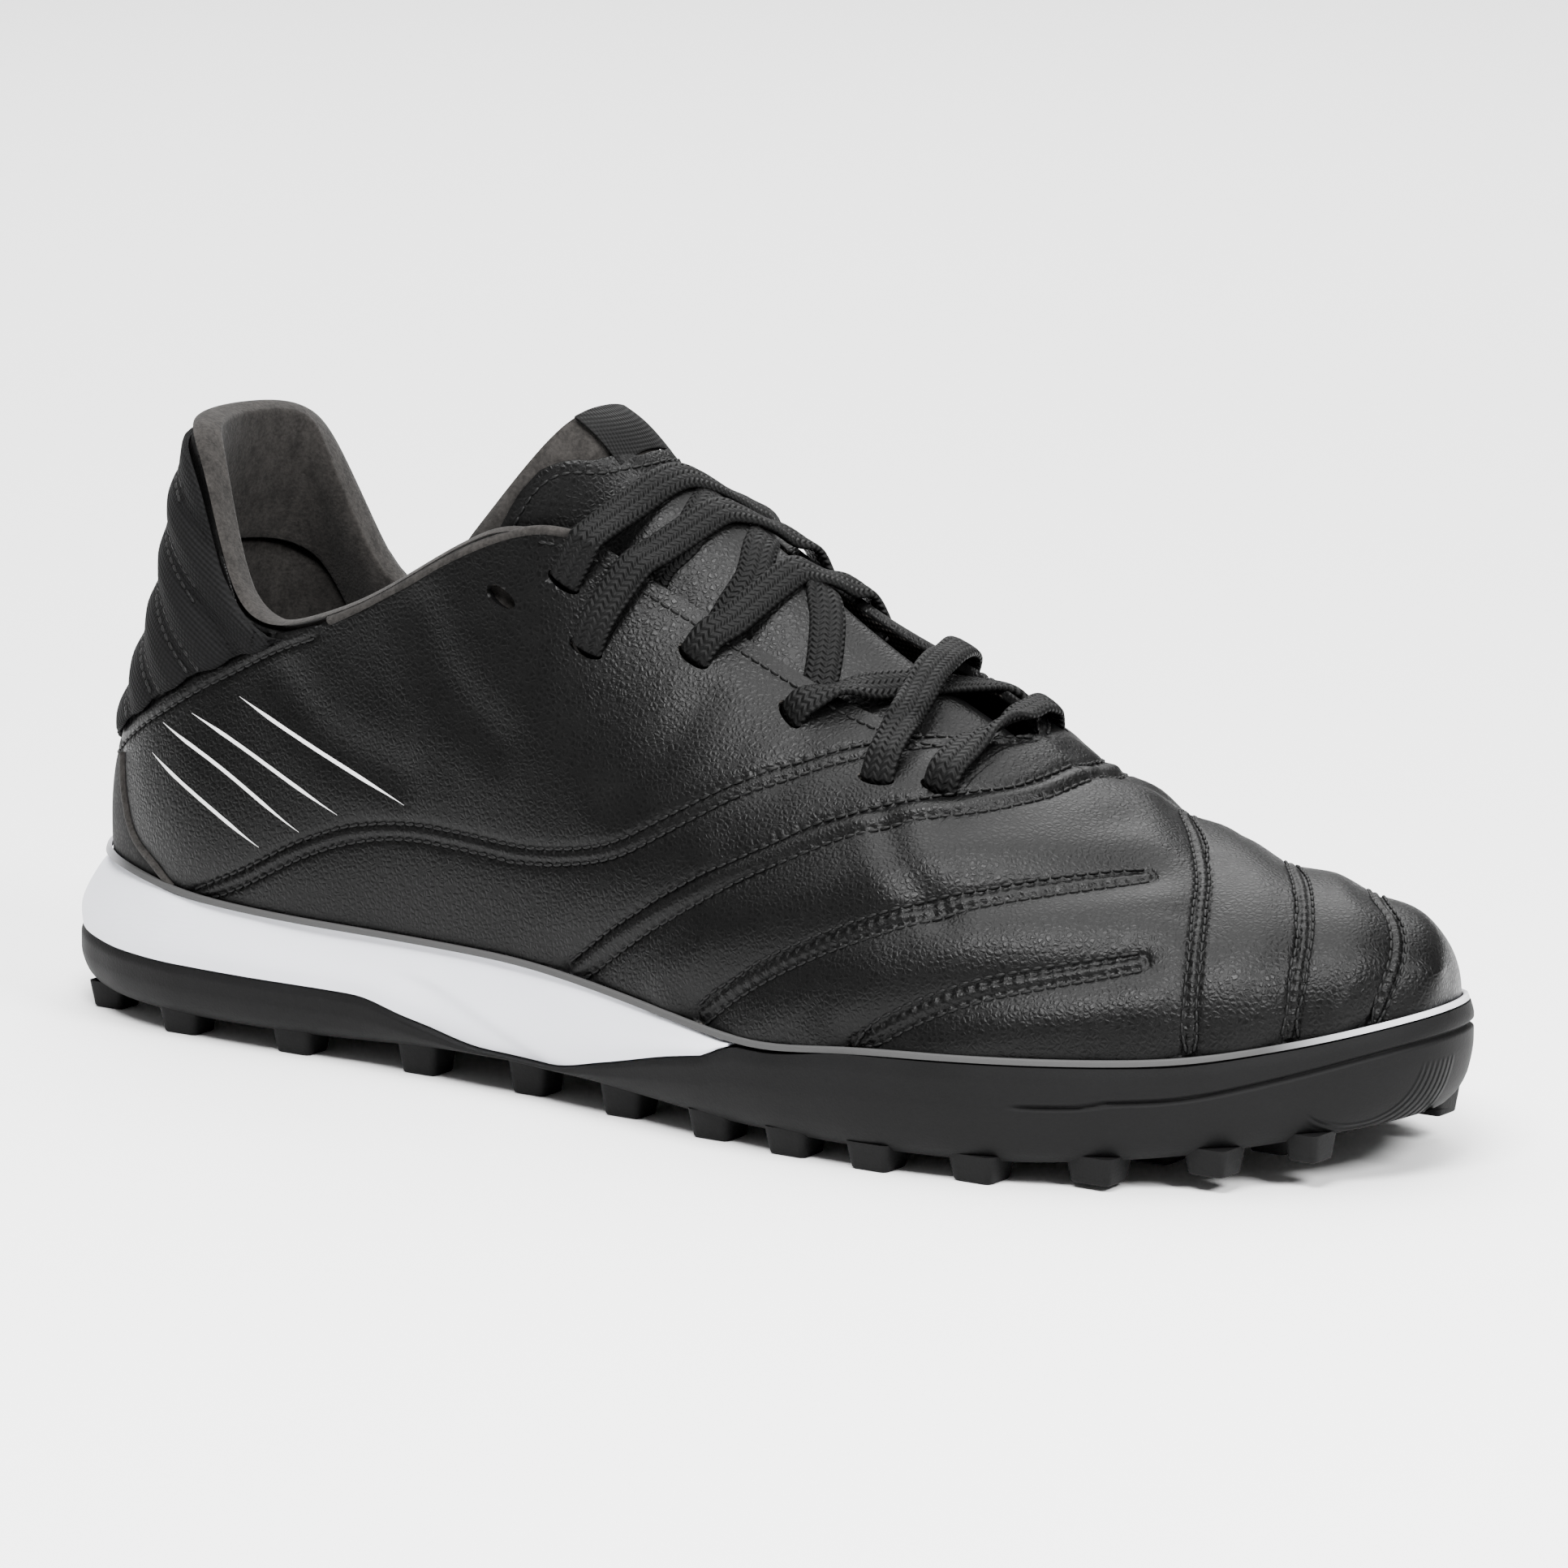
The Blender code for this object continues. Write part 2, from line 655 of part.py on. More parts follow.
def upper_feather(at, side):
    """The upper's bottom edge, inside the sole's edge."""
    turn = plan_turn(at)
    x = HEEL_INSET + at * (LENGTH - HEEL_INSET - TOE_INSET)
    narrow = 1 - SIDE_INSET / (BALL_WIDTH / 2)
    middle = PLAN("middle", turn) * BALL_WIDTH
    half = PLAN("half", turn) * BALL_WIDTH * narrow
    return np.array([x, middle + side * half, FEATHER("height", x / LENGTH) + GAP])


def upper_rim(at, side):
    column = "outer" if side < 0 else "inner"
    half = RIM(column, at) * BALL_WIDTH
    if at >= THROAT_END:
        half = 0.0
    elif at > THROAT_ROUND:
        half *= math.sqrt(1 - ((at - THROAT_ROUND) / (THROAT_END - THROAT_ROUND)) ** 2)
    spine = SPINE("middle", at) * BALL_WIDTH
    return spine + side * half, RIM(column + "_height", at)


def heel_lean(x, height):
    reach = max(1 - (x - HEEL_INSET) / LEAN_REACH, 0.0) ** LEAN_FADE
    return HEEL_CURVE("lean", height / HEEL_HEIGHT) * reach


def bend_points(foot, top, at, side, middle):
    """The four control points of a section's curve, seen from the toe."""
    rise = top[1] - foot[1]
    reach = min(1.0, abs(foot[0] - middle) / SWELL_FROM)
    low = (foot[0] + side * BEND("swell", at) * BALL_WIDTH * reach, foot[1] + BEND("rise", at) * rise)
    high = (top[0] + BEND("shoulder", at) * (foot[0] - top[0]), top[1] - BEND("drop", at) * rise)
    return [np.array(p) for p in (foot, low, high, top)]


def along(bend, t):
    a, b, c, d = bend
    u = 1 - t
    return u**3 * a + 3 * u * u * t * b + 3 * u * t * t * c + t**3 * d


def share_at(bend, side, y):
    """Where the curve comes in as far as y."""
    low, high = 0.0, 1.0
    for _ in range(24):
        middle = (low + high) / 2
        if (along(bend, middle)[0] - y) * side > 0:
            low = middle
        else:
            high = middle
    return high


def upper_section(at, side, t):
    """A point of the upper's outer face: t runs from the feather line, 0, to the top edge, 1."""
    foot = upper_feather(at, side)
    middle = PLAN("middle", plan_turn(at)) * BALL_WIDTH
    rim_y, rim_z = upper_rim(at, side)
    full = smooth_step(CROWN_START, CROWN_FULL, at)
    point = np.zeros(2)
    if full < 1:
        point += (1 - full) * along(bend_points(foot[1:], (rim_y, rim_z), at, side, middle), t)
    if full > 0:
        crown = CROWN("outer" if side < 0 else "inner", at)
        spine = SPINE("middle", at) * BALL_WIDTH
        arch = bend_points(foot[1:], (spine, crown), at, side, middle)
        end = 1.0 if at >= THROAT_END else share_at(arch, side, rim_y)
        point += full * along(arch, t * end)
    return np.array([foot[0] + heel_lean(foot[0], point[1]), point[0], point[1]])


def upper_normal(at, side, t):
    """Outward direction of the upper's face."""
    turn = plan_turn(at)
    step = 0.004
    t = min(t, 0.98)
    before = upper_section(plan_share(max(turn - step, 0)), side, t)
    after = upper_section(plan_share(min(turn + step, 1)), side, t)
    if turn < step:
        before = upper_section(plan_share(step), -side, t)
    if turn > 1 - step:
        after = upper_section(plan_share(1 - step), -side, t)
    below = upper_section(at, side, max(t - 0.01, 0))
    above = upper_section(at, side, min(t + 0.01, 1))
    normal = np.cross(above - below, after - before) * side
    return normal / np.linalg.norm(normal)


def upper_point(at, side, t, depth=0.0):
    """A point under the upper's outer face by depth, or above it where depth is negative."""
    point = upper_section(at, side, t)
    if depth == 0:
        return point
    if at >= THROAT_END and t > 0.999:
        normal = upper_normal(at, 1, 1) + upper_normal(at, -1, 1)
        return point - depth * normal / np.linalg.norm(normal)
    return point - depth * upper_normal(at, side, t)


def upper_stations():
    """Places along the upper: even turns, with more round the throat's front end."""
    even = [plan_share(turn) for turn in np.linspace(0, 1, UPPER_STEPS + 1)]
    span = THROAT_END - THROAT_ROUND
    extra = [THROAT_ROUND + span * share for share in (0.0, 0.45, 0.75, 0.93, 1.0)]
    kept = [at for at in even if min(abs(at - other) for other in extra) > 0.008]
    return sorted(kept + extra)


def make_upper(finish):
    stations = upper_stations()
    last = len(stations) - 1
    points, index = [], {}

    def vertex(k, side, row, layer):
        ridge = row == UPPER_ROWS and stations[k] >= THROAT_END - 1e-9
        key = (k, 0 if k in (0, last) or ridge else side, row, layer)
        if key not in index:
            at = stations[k]
            point = upper_point(at, side, row / UPPER_ROWS, layer * UPPER_WALL)
            if row == 0:
                point[2] = FEATHER("height", point[0] / LENGTH) + GAP
            if k in (0, last):
                point[1] = upper_section(at, side, 0)[1]
            index[key] = len(points)
            points.append(point)
        return index[key]

    faces = []
    for side in (-1, 1):
        for k in range(last):
            for row in range(UPPER_ROWS):
                for layer in (0, 1):
                    corners = ((k, row), (k + 1, row), (k + 1, row + 1), (k, row + 1))
                    face = [vertex(a, side, b, layer) for a, b in corners]
                    face = list(dict.fromkeys(face))
                    faces.append(face if (side < 0) == (layer == 0) else face[::-1])
            edges = [0]
            if stations[k] < THROAT_END - 1e-9:
                edges.append(UPPER_ROWS)
            for row in edges:
                ends = ((k, 0), (k + 1, 0), (k + 1, 1), (k, 1))
                face = [vertex(a, side, row, layer) for a, layer in ends]
                faces.append(list(dict.fromkeys(face)))
    return add_object("upper", points, faces, finish)


def make_insole(finish):
    turns = np.linspace(0, 1, SOLE_STEPS + 1)
    rings = []
    for height, draw in ((0.0, 0.0), (0.7, 0.0), (1.0, 1.0)):
        ring = []
        for k, side in ring_order(SOLE_STEPS):
            inset = UPPER_WALL + 2 * GAP + draw * MM
            point = upper_point(plan_share(turns[k]), side, 0.0, inset)
            floor = FEATHER("height", point[0] / LENGTH) + GAP
            ring.append(np.array([point[0], point[1], floor + height * INSOLE_THICK]))
        rings.append(ring)
    return add_object("insole", *loft_rings(rings), finish)


def make_rand(finish):
    turns = np.linspace(0, 1, SOLE_STEPS + 1)
    points, faces = [], []
    order = ring_order(SOLE_STEPS)
    for k, side in order:
        for depth, height in ((0, 0), (RAND_WIDTH, 0), (0.7 * RAND_WIDTH, 1), (0, 1)):
            point = upper_point(plan_share(turns[k]), side, 0.0, -GAP - depth)
            floor = FEATHER("height", point[0] / LENGTH) + GAP
            points.append(np.array([point[0], point[1], floor + height * RAND_HEIGHT]))
    for k in range(len(order)):
        n = (k + 1) % len(order)
        for a in range(4):
            b = (a + 1) % 4
            faces.append((4 * k + a, 4 * n + a, 4 * n + b, 4 * k + b))
    return add_object("rand", points, faces, finish)


def add_slab(name, low, high, columns, rows, finish):
    """A closed sheet between two faces, each a function of column and row shares."""
    points, faces = [], []
    for face in (low, high):
        for i in range(columns + 1):
            for j in range(rows + 1):
                points.append(face(i / columns, j / rows))
    width = rows + 1
    layer = (columns + 1) * width
    for i in range(columns):
        for j in range(rows):
            a, b = i * width + j, (i + 1) * width + j
            faces.append((a, a + 1, b + 1, b))
            faces.append((layer + a, layer + b, layer + b + 1, layer + a + 1))
    border = [(i, 0) for i in range(columns)] + [(columns, j) for j in range(rows)]
    border += [(i, rows) for i in range(columns, 0, -1)] + [(0, j) for j in range(rows, 0, -1)]
    for (i, j), (m, n) in zip(border, border[1:] + border[:1]):
        a, b = i * width + j, m * width + n
        faces.append((a, b, layer + b, layer + a))
    return add_object(name, points, faces, finish)


def share_at_height(at, side, height):
    """Where the upper's section comes up to a height."""
    low, high = 0.0, 1.0
    for _ in range(20):
        middle = (low + high) / 2
        if upper_section(at, side, middle)[2] < height:
            low = middle
        else:
            high = middle
    return high


def panel_place(i, j):
    """Place on the heel panel: i from the outer to the inner end, j from its lower edge up."""
    side = -1 if i < 0.5 else 1
    at = PANEL_END * abs(2 * i - 1) ** 1.6
    start = share_at_height(at, side, PANEL_EDGE("height", at))
    return at, side, start + (PANEL_TOP - start) * j


def panel_outer(i, j):
    """The panel's padded face: swollen ribs that fall towards the toe, thin at its edges."""
    base = upper_point(*panel_place(i, j), -PANEL_GAP)
    back = HEEL_INSET + HEEL_CURVE("lean", base[2] / HEEL_HEIGHT)
    level = base[2] + PANEL_RIB_FALL * (base[0] - back) - PANEL_RIB_FIRST
    rib = abs(math.sin(math.pi * level / PANEL_RIB_PITCH)) ** 0.7
    fade = min(1.0, 6 * min(i, 1 - i), 8 * min(j, 1 - j))
    thick = PANEL_THICK * (PANEL_SEAM + (1 - PANEL_SEAM) * rib * fade)
    return upper_point(*panel_place(i, j), -PANEL_GAP - thick)


def make_heel_panel(finish):
    def low(i, j):
        return upper_point(*panel_place(i, j), -PANEL_GAP)

    return add_slab("heel_panel", low, panel_outer, PANEL_COLUMNS, PANEL_ROWS, finish)


def lining_section(at, side):
    """The padded lining's outline at one place of the collar: inside the wall, then over its edge."""
    thin = 1 - LINING_THIN * smooth_step(0.18, 0.30, at)
    inner = UPPER_WALL + LINING_GAP
    thick = LINING_THICK * thin
    edge = upper_section(at, side, 1.0)
    below = upper_section(at, side, 0.96)
    up = (edge - below) / np.linalg.norm(edge - below)
    out = upper_normal(at, side, 1.0)
    length = np.linalg.norm(edge - upper_section(at, side, 0.0))
    roll = ROLL_HEIGHT
    above = (
        (LINING_LIFT, inner),
        (LINING_LIFT, 0.3 * UPPER_WALL),
        (0.45 * roll, -0.2 * UPPER_WALL),
        (0.85 * roll, 0.3 * UPPER_WALL),
        (roll, 0.5 * inner + 0.4 * thick),
        (0.75 * roll, inner + 0.75 * thick),
    )
    points = [upper_point(at, side, 1 - LINING_DEPTH / length, inner)]
    points.append(upper_point(at, side, 1 - 0.4 * LINING_DEPTH / length, inner))
    points += [edge + up * height - out * depth for height, depth in above]
    for share, depth in ((0.15, 1.0), (0.5, 0.75), (1.0, 0.2)):
        points.append(upper_point(at, side, 1 - share * LINING_DEPTH / length, inner + depth * thick))
    return points


def make_collar_lining(finish):
    shares = np.linspace(-1, 1, LINING_COLUMNS + 1)
    sections = []
    for share in shares:
        at = LINING_END * abs(share) ** 1.35
        section = lining_section(at, -1 if share < 0 else 1)
        if share == 0:
            for point in section:
                point[1] = upper_section(0, 1, 0)[1]
        sections.append(section)
    count = len(sections[0])
    points = [point for section in sections for point in section]
    faces = [list(range(count)), [len(points) - 1 - k for k in range(count)]]
    for level in range(len(sections) - 1):
        for k in range(count):
            n = (k + 1) % count
            low, high = level * count, (level + 1) * count
            faces.append((low + k, low + n, high + n, high + k))
    return add_object("collar_lining", points, faces, finish)


def tongue_middle(along_share):
    spine = SPINE("middle", TONGUE("x", along_share))
    return (spine + TONGUE("lean", along_share)) * BALL_WIDTH


def tongue_point(along_share, across, depth=0.0):
    """Top face of the tongue: across runs from -1, its outer edge, to 1."""
    bow = abs(across) ** TONGUE("arch", along_share)
    x = TONGUE("x", along_share) * LENGTH - TONGUE("back", along_share) * BALL_WIDTH * bow
    y = tongue_middle(along_share) + across * TONGUE("half", along_share) * BALL_WIDTH
    z = TONGUE("height", along_share) - TONGUE("drop", along_share) * BALL_WIDTH * bow
    if depth == 0:
        return np.array([x, y, z])
    step = 0.01
    edge = min(max(across, step - 1), 1 - step)
    near = min(max(along_share, step), 1 - step)
    right = tongue_point(near, edge + step) - tongue_point(near, edge - step)
    ahead = tongue_point(near + step, edge) - tongue_point(near - step, edge)
    normal = np.cross(right, ahead)
    normal *= np.sign(normal[2]) / np.linalg.norm(normal)
    return np.array([x, y, z]) - depth * normal


def make_tongue(finish):
    def high(i, j):
        return tongue_point(j, 2 * i - 1)

    def low(i, j):
        edge = 1 - 0.7 * abs(2 * i - 1) ** 6
        thick = TONGUE("thick", j) * TONGUE_THICK * edge
        return tongue_point(j, 2 * i - 1, thick)

    return add_slab("tongue", low, high, TONGUE_COLUMNS, TONGUE_STEPS, finish)


def make_label(finish):
    """A cloth tab down the tongue's crest from its top edge."""

    def place(i, j, depth):
        share = LABEL_START + (LABEL_TOP - LABEL_START) * j
        return tongue_point(share, LABEL_HALF * (2 * i - 1), -GAP - depth)

    def high(i, j):
        return place(i, j, LABEL_THICK)

    def low(i, j):
        return place(i, j, 0.0)

    return add_slab("tongue_label", low, high, LABEL_COLUMNS, LABEL_ROWS, finish)


def tongue_height(x, y):
    """Height of the tongue's top face at a place seen from above."""
    low, high = 0.0, 1.0
    for _ in range(20):
        middle = (low + high) / 2
        half = TONGUE("half", middle) * BALL_WIDTH
        across = min(max((y - tongue_middle(middle)) / half, -1.0), 1.0)
        point = tongue_point(middle, across)
        if point[0] > x:
            low = middle
        else:
            high = middle
    return point[2]


def tongue_upward(x, y):
    """Direction away from the tongue's top face at a place seen from above."""
    step = 1 * MM
    along_x = (tongue_height(x + step, y) - tongue_height(x - step, y)) / (2 * step)
    along_y = (tongue_height(x, y + step) - tongue_height(x, y - step)) / (2 * step)
    normal = np.array([-along_x, -along_y, 1.0])
    return normal / np.linalg.norm(normal)


def taut_line(places, heights):
    """The upper hull of heights along a run: a lace pulled tight over what is under it."""
    kept = []
    for place, z in zip(places, heights):
        while len(kept) > 1:
            (a, za), (b, zb) = kept[-2], kept[-1]
            if (zb - za) * (place - a) <= (z - za) * (b - a):
                kept.pop()
            else:
                break
        kept.append((place, z))
    return np.interp(places, [a for a, _ in kept], [z for _, z in kept])


def beside_throat(x, side, down, lift):
    """A point over the upper's face, down from the throat's edge, and the face's direction."""
    at = (x - HEEL_INSET) / (LENGTH - HEEL_INSET - TOE_INSET)
    edge = upper_section(at, side, 1.0)
    length = np.linalg.norm(edge - upper_section(at, side, 0.0))
    share = 1 - down / length
    return upper_point(at, side, share, -lift), upper_normal(at, side, share)


def lace_route(near_at, near_depth, far_at, far_depth):
    """Middle line of one lace and its upward directions, from the outer to the inner side."""
    near_x, far_x = near_at * LENGTH, far_at * LENGTH
    near_down, far_down = near_depth * INSTEP_HEIGHT, far_depth * INSTEP_HEIGHT
    lift = LACE_THICK / 2 + LACE_CLEAR
    steps = np.linspace(0, 1, LACE_SIDE_STEPS + 1)
    turn_in = 0.2 * (far_x - near_x)
    near = [beside_throat(near_x + turn_in * k, -1, near_down * (1 - k), lift) for k in steps]
    far = [beside_throat(far_x - turn_in * k, 1, far_down * (1 - k), lift) for k in steps]
    start, end = near[-1][0], far[-1][0]
    shares = np.linspace(0, 1, LACE_MIDDLE_STEPS + 1)
    middle = [start + (end - start) * share for share in shares]
    under = [tongue_upward(x, y) for x, y, _ in middle]
    tongue = [tongue_height(x, y) + lift / up[2] for (x, y, _), up in zip(middle, under)]
    heights = taut_line(shares, [start[2]] + tongue[1:-1] + [end[2]])
    arch = np.sin(math.pi * shares)[:, None] ** 0.5
    edges = near[-1][1] * (1 - shares[:, None]) + far[-1][1] * shares[:, None]
    upward = edges * (1 - arch) + np.array(under) * arch
    points = [point for point, _ in near[:-1]]
    points += [np.array([x, y, z]) for (x, y, _), z in zip(middle, heights)]
    points += [point for point, _ in far[-2::-1]]
    normals = [normal for _, normal in near[:-1]] + list(upward) + [normal for _, normal in far[-2::-1]]
    return np.array(points), np.array(normals)


def lace_run(*ends):
    """Points and faces of one flat oval lace lying on the upper's sides and over the tongue."""
    route, normals = lace_route(*ends)
    points, faces = [], []
    last = len(route) - 1
    for k, place in enumerate(route):
        ahead = route[min(k + 1, last)] - route[max(k - 1, 0)]
        aside = np.cross(ahead, normals[k])
        aside /= np.linalg.norm(aside)
        up = np.cross(aside, ahead / np.linalg.norm(ahead))
        for turn in np.arange(LACE_SIDES) * 2 * math.pi / LACE_SIDES:
            wide = math.cos(turn) * LACE_WIDTH / 2
            points.append(place + aside * wide + up * math.sin(turn) * LACE_THICK / 2)
    for k in range(last):
        for a in range(LACE_SIDES):
            b = (a + 1) % LACE_SIDES
            low, high = k * LACE_SIDES, (k + 1) * LACE_SIDES
            faces.append((low + a, low + b, high + b, high + a))
    ends = [list(range(LACE_SIDES))[::-1], [last * LACE_SIDES + a for a in range(LACE_SIDES)]]
    return points, faces + ends


def make_laces(finish):
    for name, runs in LACE_RUNS.items():
        first = add_object(name, *lace_run(*runs[0]), finish, LACE_SMOOTH_ANGLE)
        for number, run in enumerate(runs[1:]):
            shape = f"{name}_shape_{number}"
            other = add_object(shape, *lace_run(*run), finish, LACE_SMOOTH_ANGLE)
            union(first, other)


def main():
    for thing in list(bpy.data.objects):
        bpy.data.objects.remove(thing)
    finishes = {name: material(name) for name in MATERIALS}
    make_outsole(finishes["outsole_rubber"])
    make_midsole(finishes["midsole_foam"])
    make_rand(finishes["rand_rubber"])
    make_upper(finishes["upper_leather"])
    make_insole(finishes["insole_fabric"])
    make_heel_panel(finishes["knit_panel"])
    make_collar_lining(finishes["lining_suede"])
    make_tongue(finishes["upper_leather"])
    make_label(finishes["label_cloth"])
    make_laces(finishes["lace_cord"])


main()
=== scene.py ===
# %% [markdown]
# # A turf shoe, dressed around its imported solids
# The solids already have the true shape of last, sole and tongue. This script loads them as a fixed
# frame, puts finer skins where the eye is close, and gives every surface its finish. All sizes are in
# metres: +X runs from heel to toe, -Y is the outer side of the foot, +Z is up.

# %% Load the frame
import json
import math

import bpy
import numpy as np
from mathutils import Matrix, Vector
from mathutils.bvhtree import BVHTree
from mathutils.kdtree import KDTree

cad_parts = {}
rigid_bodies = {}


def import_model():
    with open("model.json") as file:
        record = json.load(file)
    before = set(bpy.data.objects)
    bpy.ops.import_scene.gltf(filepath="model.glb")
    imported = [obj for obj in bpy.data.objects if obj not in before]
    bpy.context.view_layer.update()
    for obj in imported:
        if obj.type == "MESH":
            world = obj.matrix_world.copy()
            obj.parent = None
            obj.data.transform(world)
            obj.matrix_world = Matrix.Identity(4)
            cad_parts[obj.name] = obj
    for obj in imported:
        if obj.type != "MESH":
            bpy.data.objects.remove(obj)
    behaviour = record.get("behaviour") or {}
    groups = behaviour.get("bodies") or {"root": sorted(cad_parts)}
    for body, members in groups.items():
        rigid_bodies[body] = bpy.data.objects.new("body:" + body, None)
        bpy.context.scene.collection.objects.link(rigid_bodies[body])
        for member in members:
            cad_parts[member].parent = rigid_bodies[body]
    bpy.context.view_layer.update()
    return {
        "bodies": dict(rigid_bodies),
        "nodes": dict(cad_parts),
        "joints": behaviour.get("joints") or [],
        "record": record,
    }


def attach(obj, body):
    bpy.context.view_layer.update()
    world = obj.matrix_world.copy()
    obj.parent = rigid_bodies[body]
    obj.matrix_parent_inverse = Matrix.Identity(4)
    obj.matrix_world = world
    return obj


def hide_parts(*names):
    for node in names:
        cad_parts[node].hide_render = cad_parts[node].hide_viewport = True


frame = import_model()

MM = 0.001
print("solids:", sorted(frame["nodes"]))

# %% [markdown]
# The camera comes first, because everything else is judged through it. It is a long lens, 1.5 m away
# and a little above the shoe, on the outer side and towards the toe. It is aimed slightly beside the
# shoe's middle, so that the lens needs no shift.

# %% Camera
LOOK_TURN = math.radians(35.0)
LOOK_RISE = math.radians(11.3)
DISTANCE = 1.5
PIXELS_PER_MM = 6.65
IMAGE_SIDE = 1932
MIDDLE = Vector((1.0, -0.5, 50.0)) * MM
MIDDLE_IN_IMAGE = (914.4, 1001.0)

back = Vector((
    math.sin(LOOK_TURN) * math.cos(LOOK_RISE),
    -math.cos(LOOK_TURN) * math.cos(LOOK_RISE),
    math.sin(LOOK_RISE)))
right = Vector((math.cos(LOOK_TURN), math.sin(LOOK_TURN), 0))
up = back.cross(right)
half = IMAGE_SIDE / 2
aim = MIDDLE + (right * (half - MIDDLE_IN_IMAGE[0]) + up * (MIDDLE_IN_IMAGE[1] - half)) / PIXELS_PER_MM * MM
bpy.ops.object.select_all(action="DESELECT")
bpy.ops.object.camera_add(location=MIDDLE + back * DISTANCE)
camera = bpy.context.object
camera.name = "camera"
camera.data.sensor_width = 36
camera.data.lens = PIXELS_PER_MM / MM * DISTANCE / IMAGE_SIDE * 36
camera.rotation_mode = "QUATERNION"
camera.rotation_quaternion = (aim - camera.location).to_track_quat("-Z", "Y")
bpy.context.scene.camera = camera
print("lens", round(camera.data.lens, 1))

# %% [markdown]
# The shoe stands on a white sweep in a bright room. Two wide lamps hang high up, one above the shoe and
# one over the sweep behind it. Two smaller ones, over the toe and over the instep, draw the highlights
# on the leather. A dim white world keeps the shadows thin.

# %% Floor and lights
def soft_lamp(name, place, target, size, watts):
    bpy.ops.object.light_add(type="AREA", location=place)
    lamp = bpy.context.object
    lamp.name = name
    lamp.data.shape = "RECTANGLE"
    lamp.data.size, lamp.data.size_y = size
    lamp.data.energy = watts
    lamp.rotation_mode = "QUATERNION"
    lamp.rotation_quaternion = (Vector(target) - Vector(place)).to_track_quat("-Z", "Y")
    return lamp


soft_lamp("lamp_above", (-0.15, 0.25, 1.5), (-0.15, 0.25, 0), (1.8, 1.8), 70)
soft_lamp("lamp_on_sweep", (-1.0, 1.6, 1.5), (-1.0, 1.6, 0), (1.8, 1.8), 70)
soft_lamp("lamp_over_toe", (0.85, -0.20, 0.68), (0.06, 0, 0.04), (0.34, 0.30), 17)
soft_lamp("lamp_over_instep", (0.25, -0.60, 0.95), (0, 0, 0.06), (0.50, 0.25), 26)
world = bpy.context.scene.world or bpy.data.worlds.new("room")
bpy.context.scene.world = world
world.use_nodes = True
world.node_tree.nodes["Background"].inputs["Color"].default_value = (1, 1, 1, 1)
world.node_tree.nodes["Background"].inputs["Strength"].default_value = 0.32

bpy.ops.mesh.primitive_plane_add(size=14, location=(0, 0, 0))
floor = bpy.context.object
floor.name = "floor"

# %% [markdown]
# Shader sums are written as Python sums. `Value` wraps one socket, so `1 - grain * 0.4` adds the Math
# nodes that it says, and `Finish` makes any other node from its type, settings and inputs.

# %% Shader helpers
class Value:
    def __init__(self, finish, socket):
        self.finish = finish
        self.socket = socket

    def sum(self, operation, *others):
        return self.finish.node("ShaderNodeMath", {"operation": operation}, dict(enumerate(others)))

    def __add__(self, other):
        return self.sum("ADD", self, other)

    def __sub__(self, other):
        return self.sum("SUBTRACT", self, other)

    def __rsub__(self, other):
        return self.sum("SUBTRACT", other, self)

    def __mul__(self, other):
        return self.sum("MULTIPLY", self, other)

    def __truediv__(self, other):
        return self.sum("DIVIDE", self, other)

    __radd__ = __add__
    __rmul__ = __mul__

    def wave(self):
        """Between 0 and 1, with one rise and fall for each 1."""
        return self.sum("SINE", self * (2 * math.pi)) * 0.5 + 0.5

    def root(self):
        return self.sum("SQRT", self)

    def between(self, low, high):
        """0 below low, 1 above high, smooth between them."""
        settings = {"interpolation_type": "SMOOTHSTEP"}
        inputs = {"Value": self, "From Min": low, "From Max": high}
        return self.finish.node("ShaderNodeMapRange", settings, inputs)


class Finish:
    def __init__(self, name):
        self.material = bpy.data.materials.new(name)
        self.material.use_nodes = True
        self.tree = self.material.node_tree
        self.shader = self.tree.nodes["Principled BSDF"]
        self.place = self.node("ShaderNodeTexCoord", {}, {}, "Object")

    def node(self, kind, settings=None, inputs=None, output=0):
        made = self.tree.nodes.new(kind)
        for key, value in (settings or {}).items():
            setattr(made, key, value)
        for key, value in (inputs or {}).items():
            if isinstance(value, Value):
                self.tree.links.new(value.socket, made.inputs[key])
            else:
                made.inputs[key].default_value = value
        return Value(self, made.outputs[output])

    def noise(self, scale, detail=3.0, roughness=0.5, place=None):
        inputs = {"Vector": place or self.place, "Scale": scale, "Detail": detail, "Roughness": roughness}
        return self.node("ShaderNodeTexNoise", {}, inputs)

    def cells(self, scale, feature="F1", place=None):
        inputs = {"Vector": place or self.place, "Scale": scale}
        return self.node("ShaderNodeTexVoronoi", {"feature": feature}, inputs)

    def axis(self, letter):
        return self.node("ShaderNodeSeparateXYZ", {}, {"Vector": self.place}, letter)

    def stretch(self, scale, turn=(0, 0, 0)):
        return self.node("ShaderNodeMapping", {}, {"Vector": self.place, "Scale": scale, "Rotation": turn})

    def mark(self, name):
        return self.node("ShaderNodeAttribute", {"attribute_name": name}, {}, "Fac")

    def mix(self, first, second, factor):
        return self.node("ShaderNodeMix", {"data_type": "RGBA"}, {0: factor, 6: first, 7: second}, 2)

    def bump(self, height, strength, depth, under=None):
        inputs = {"Height": height, "Strength": strength, "Distance": depth}
        if under:
            inputs["Normal"] = under
        return self.node("ShaderNodeBump", {}, inputs)

    def paint(self, **sockets):
        for key, value in sockets.items():
            socket = self.shader.inputs[key.replace("_", " ")]
            if isinstance(value, Value):
                self.tree.links.new(value.socket, socket)
            else:
                socket.default_value = value
        return self.material


def grey(level, tint=(1, 1, 1)):
    return (level * tint[0], level * tint[1], level * tint[2], 1)


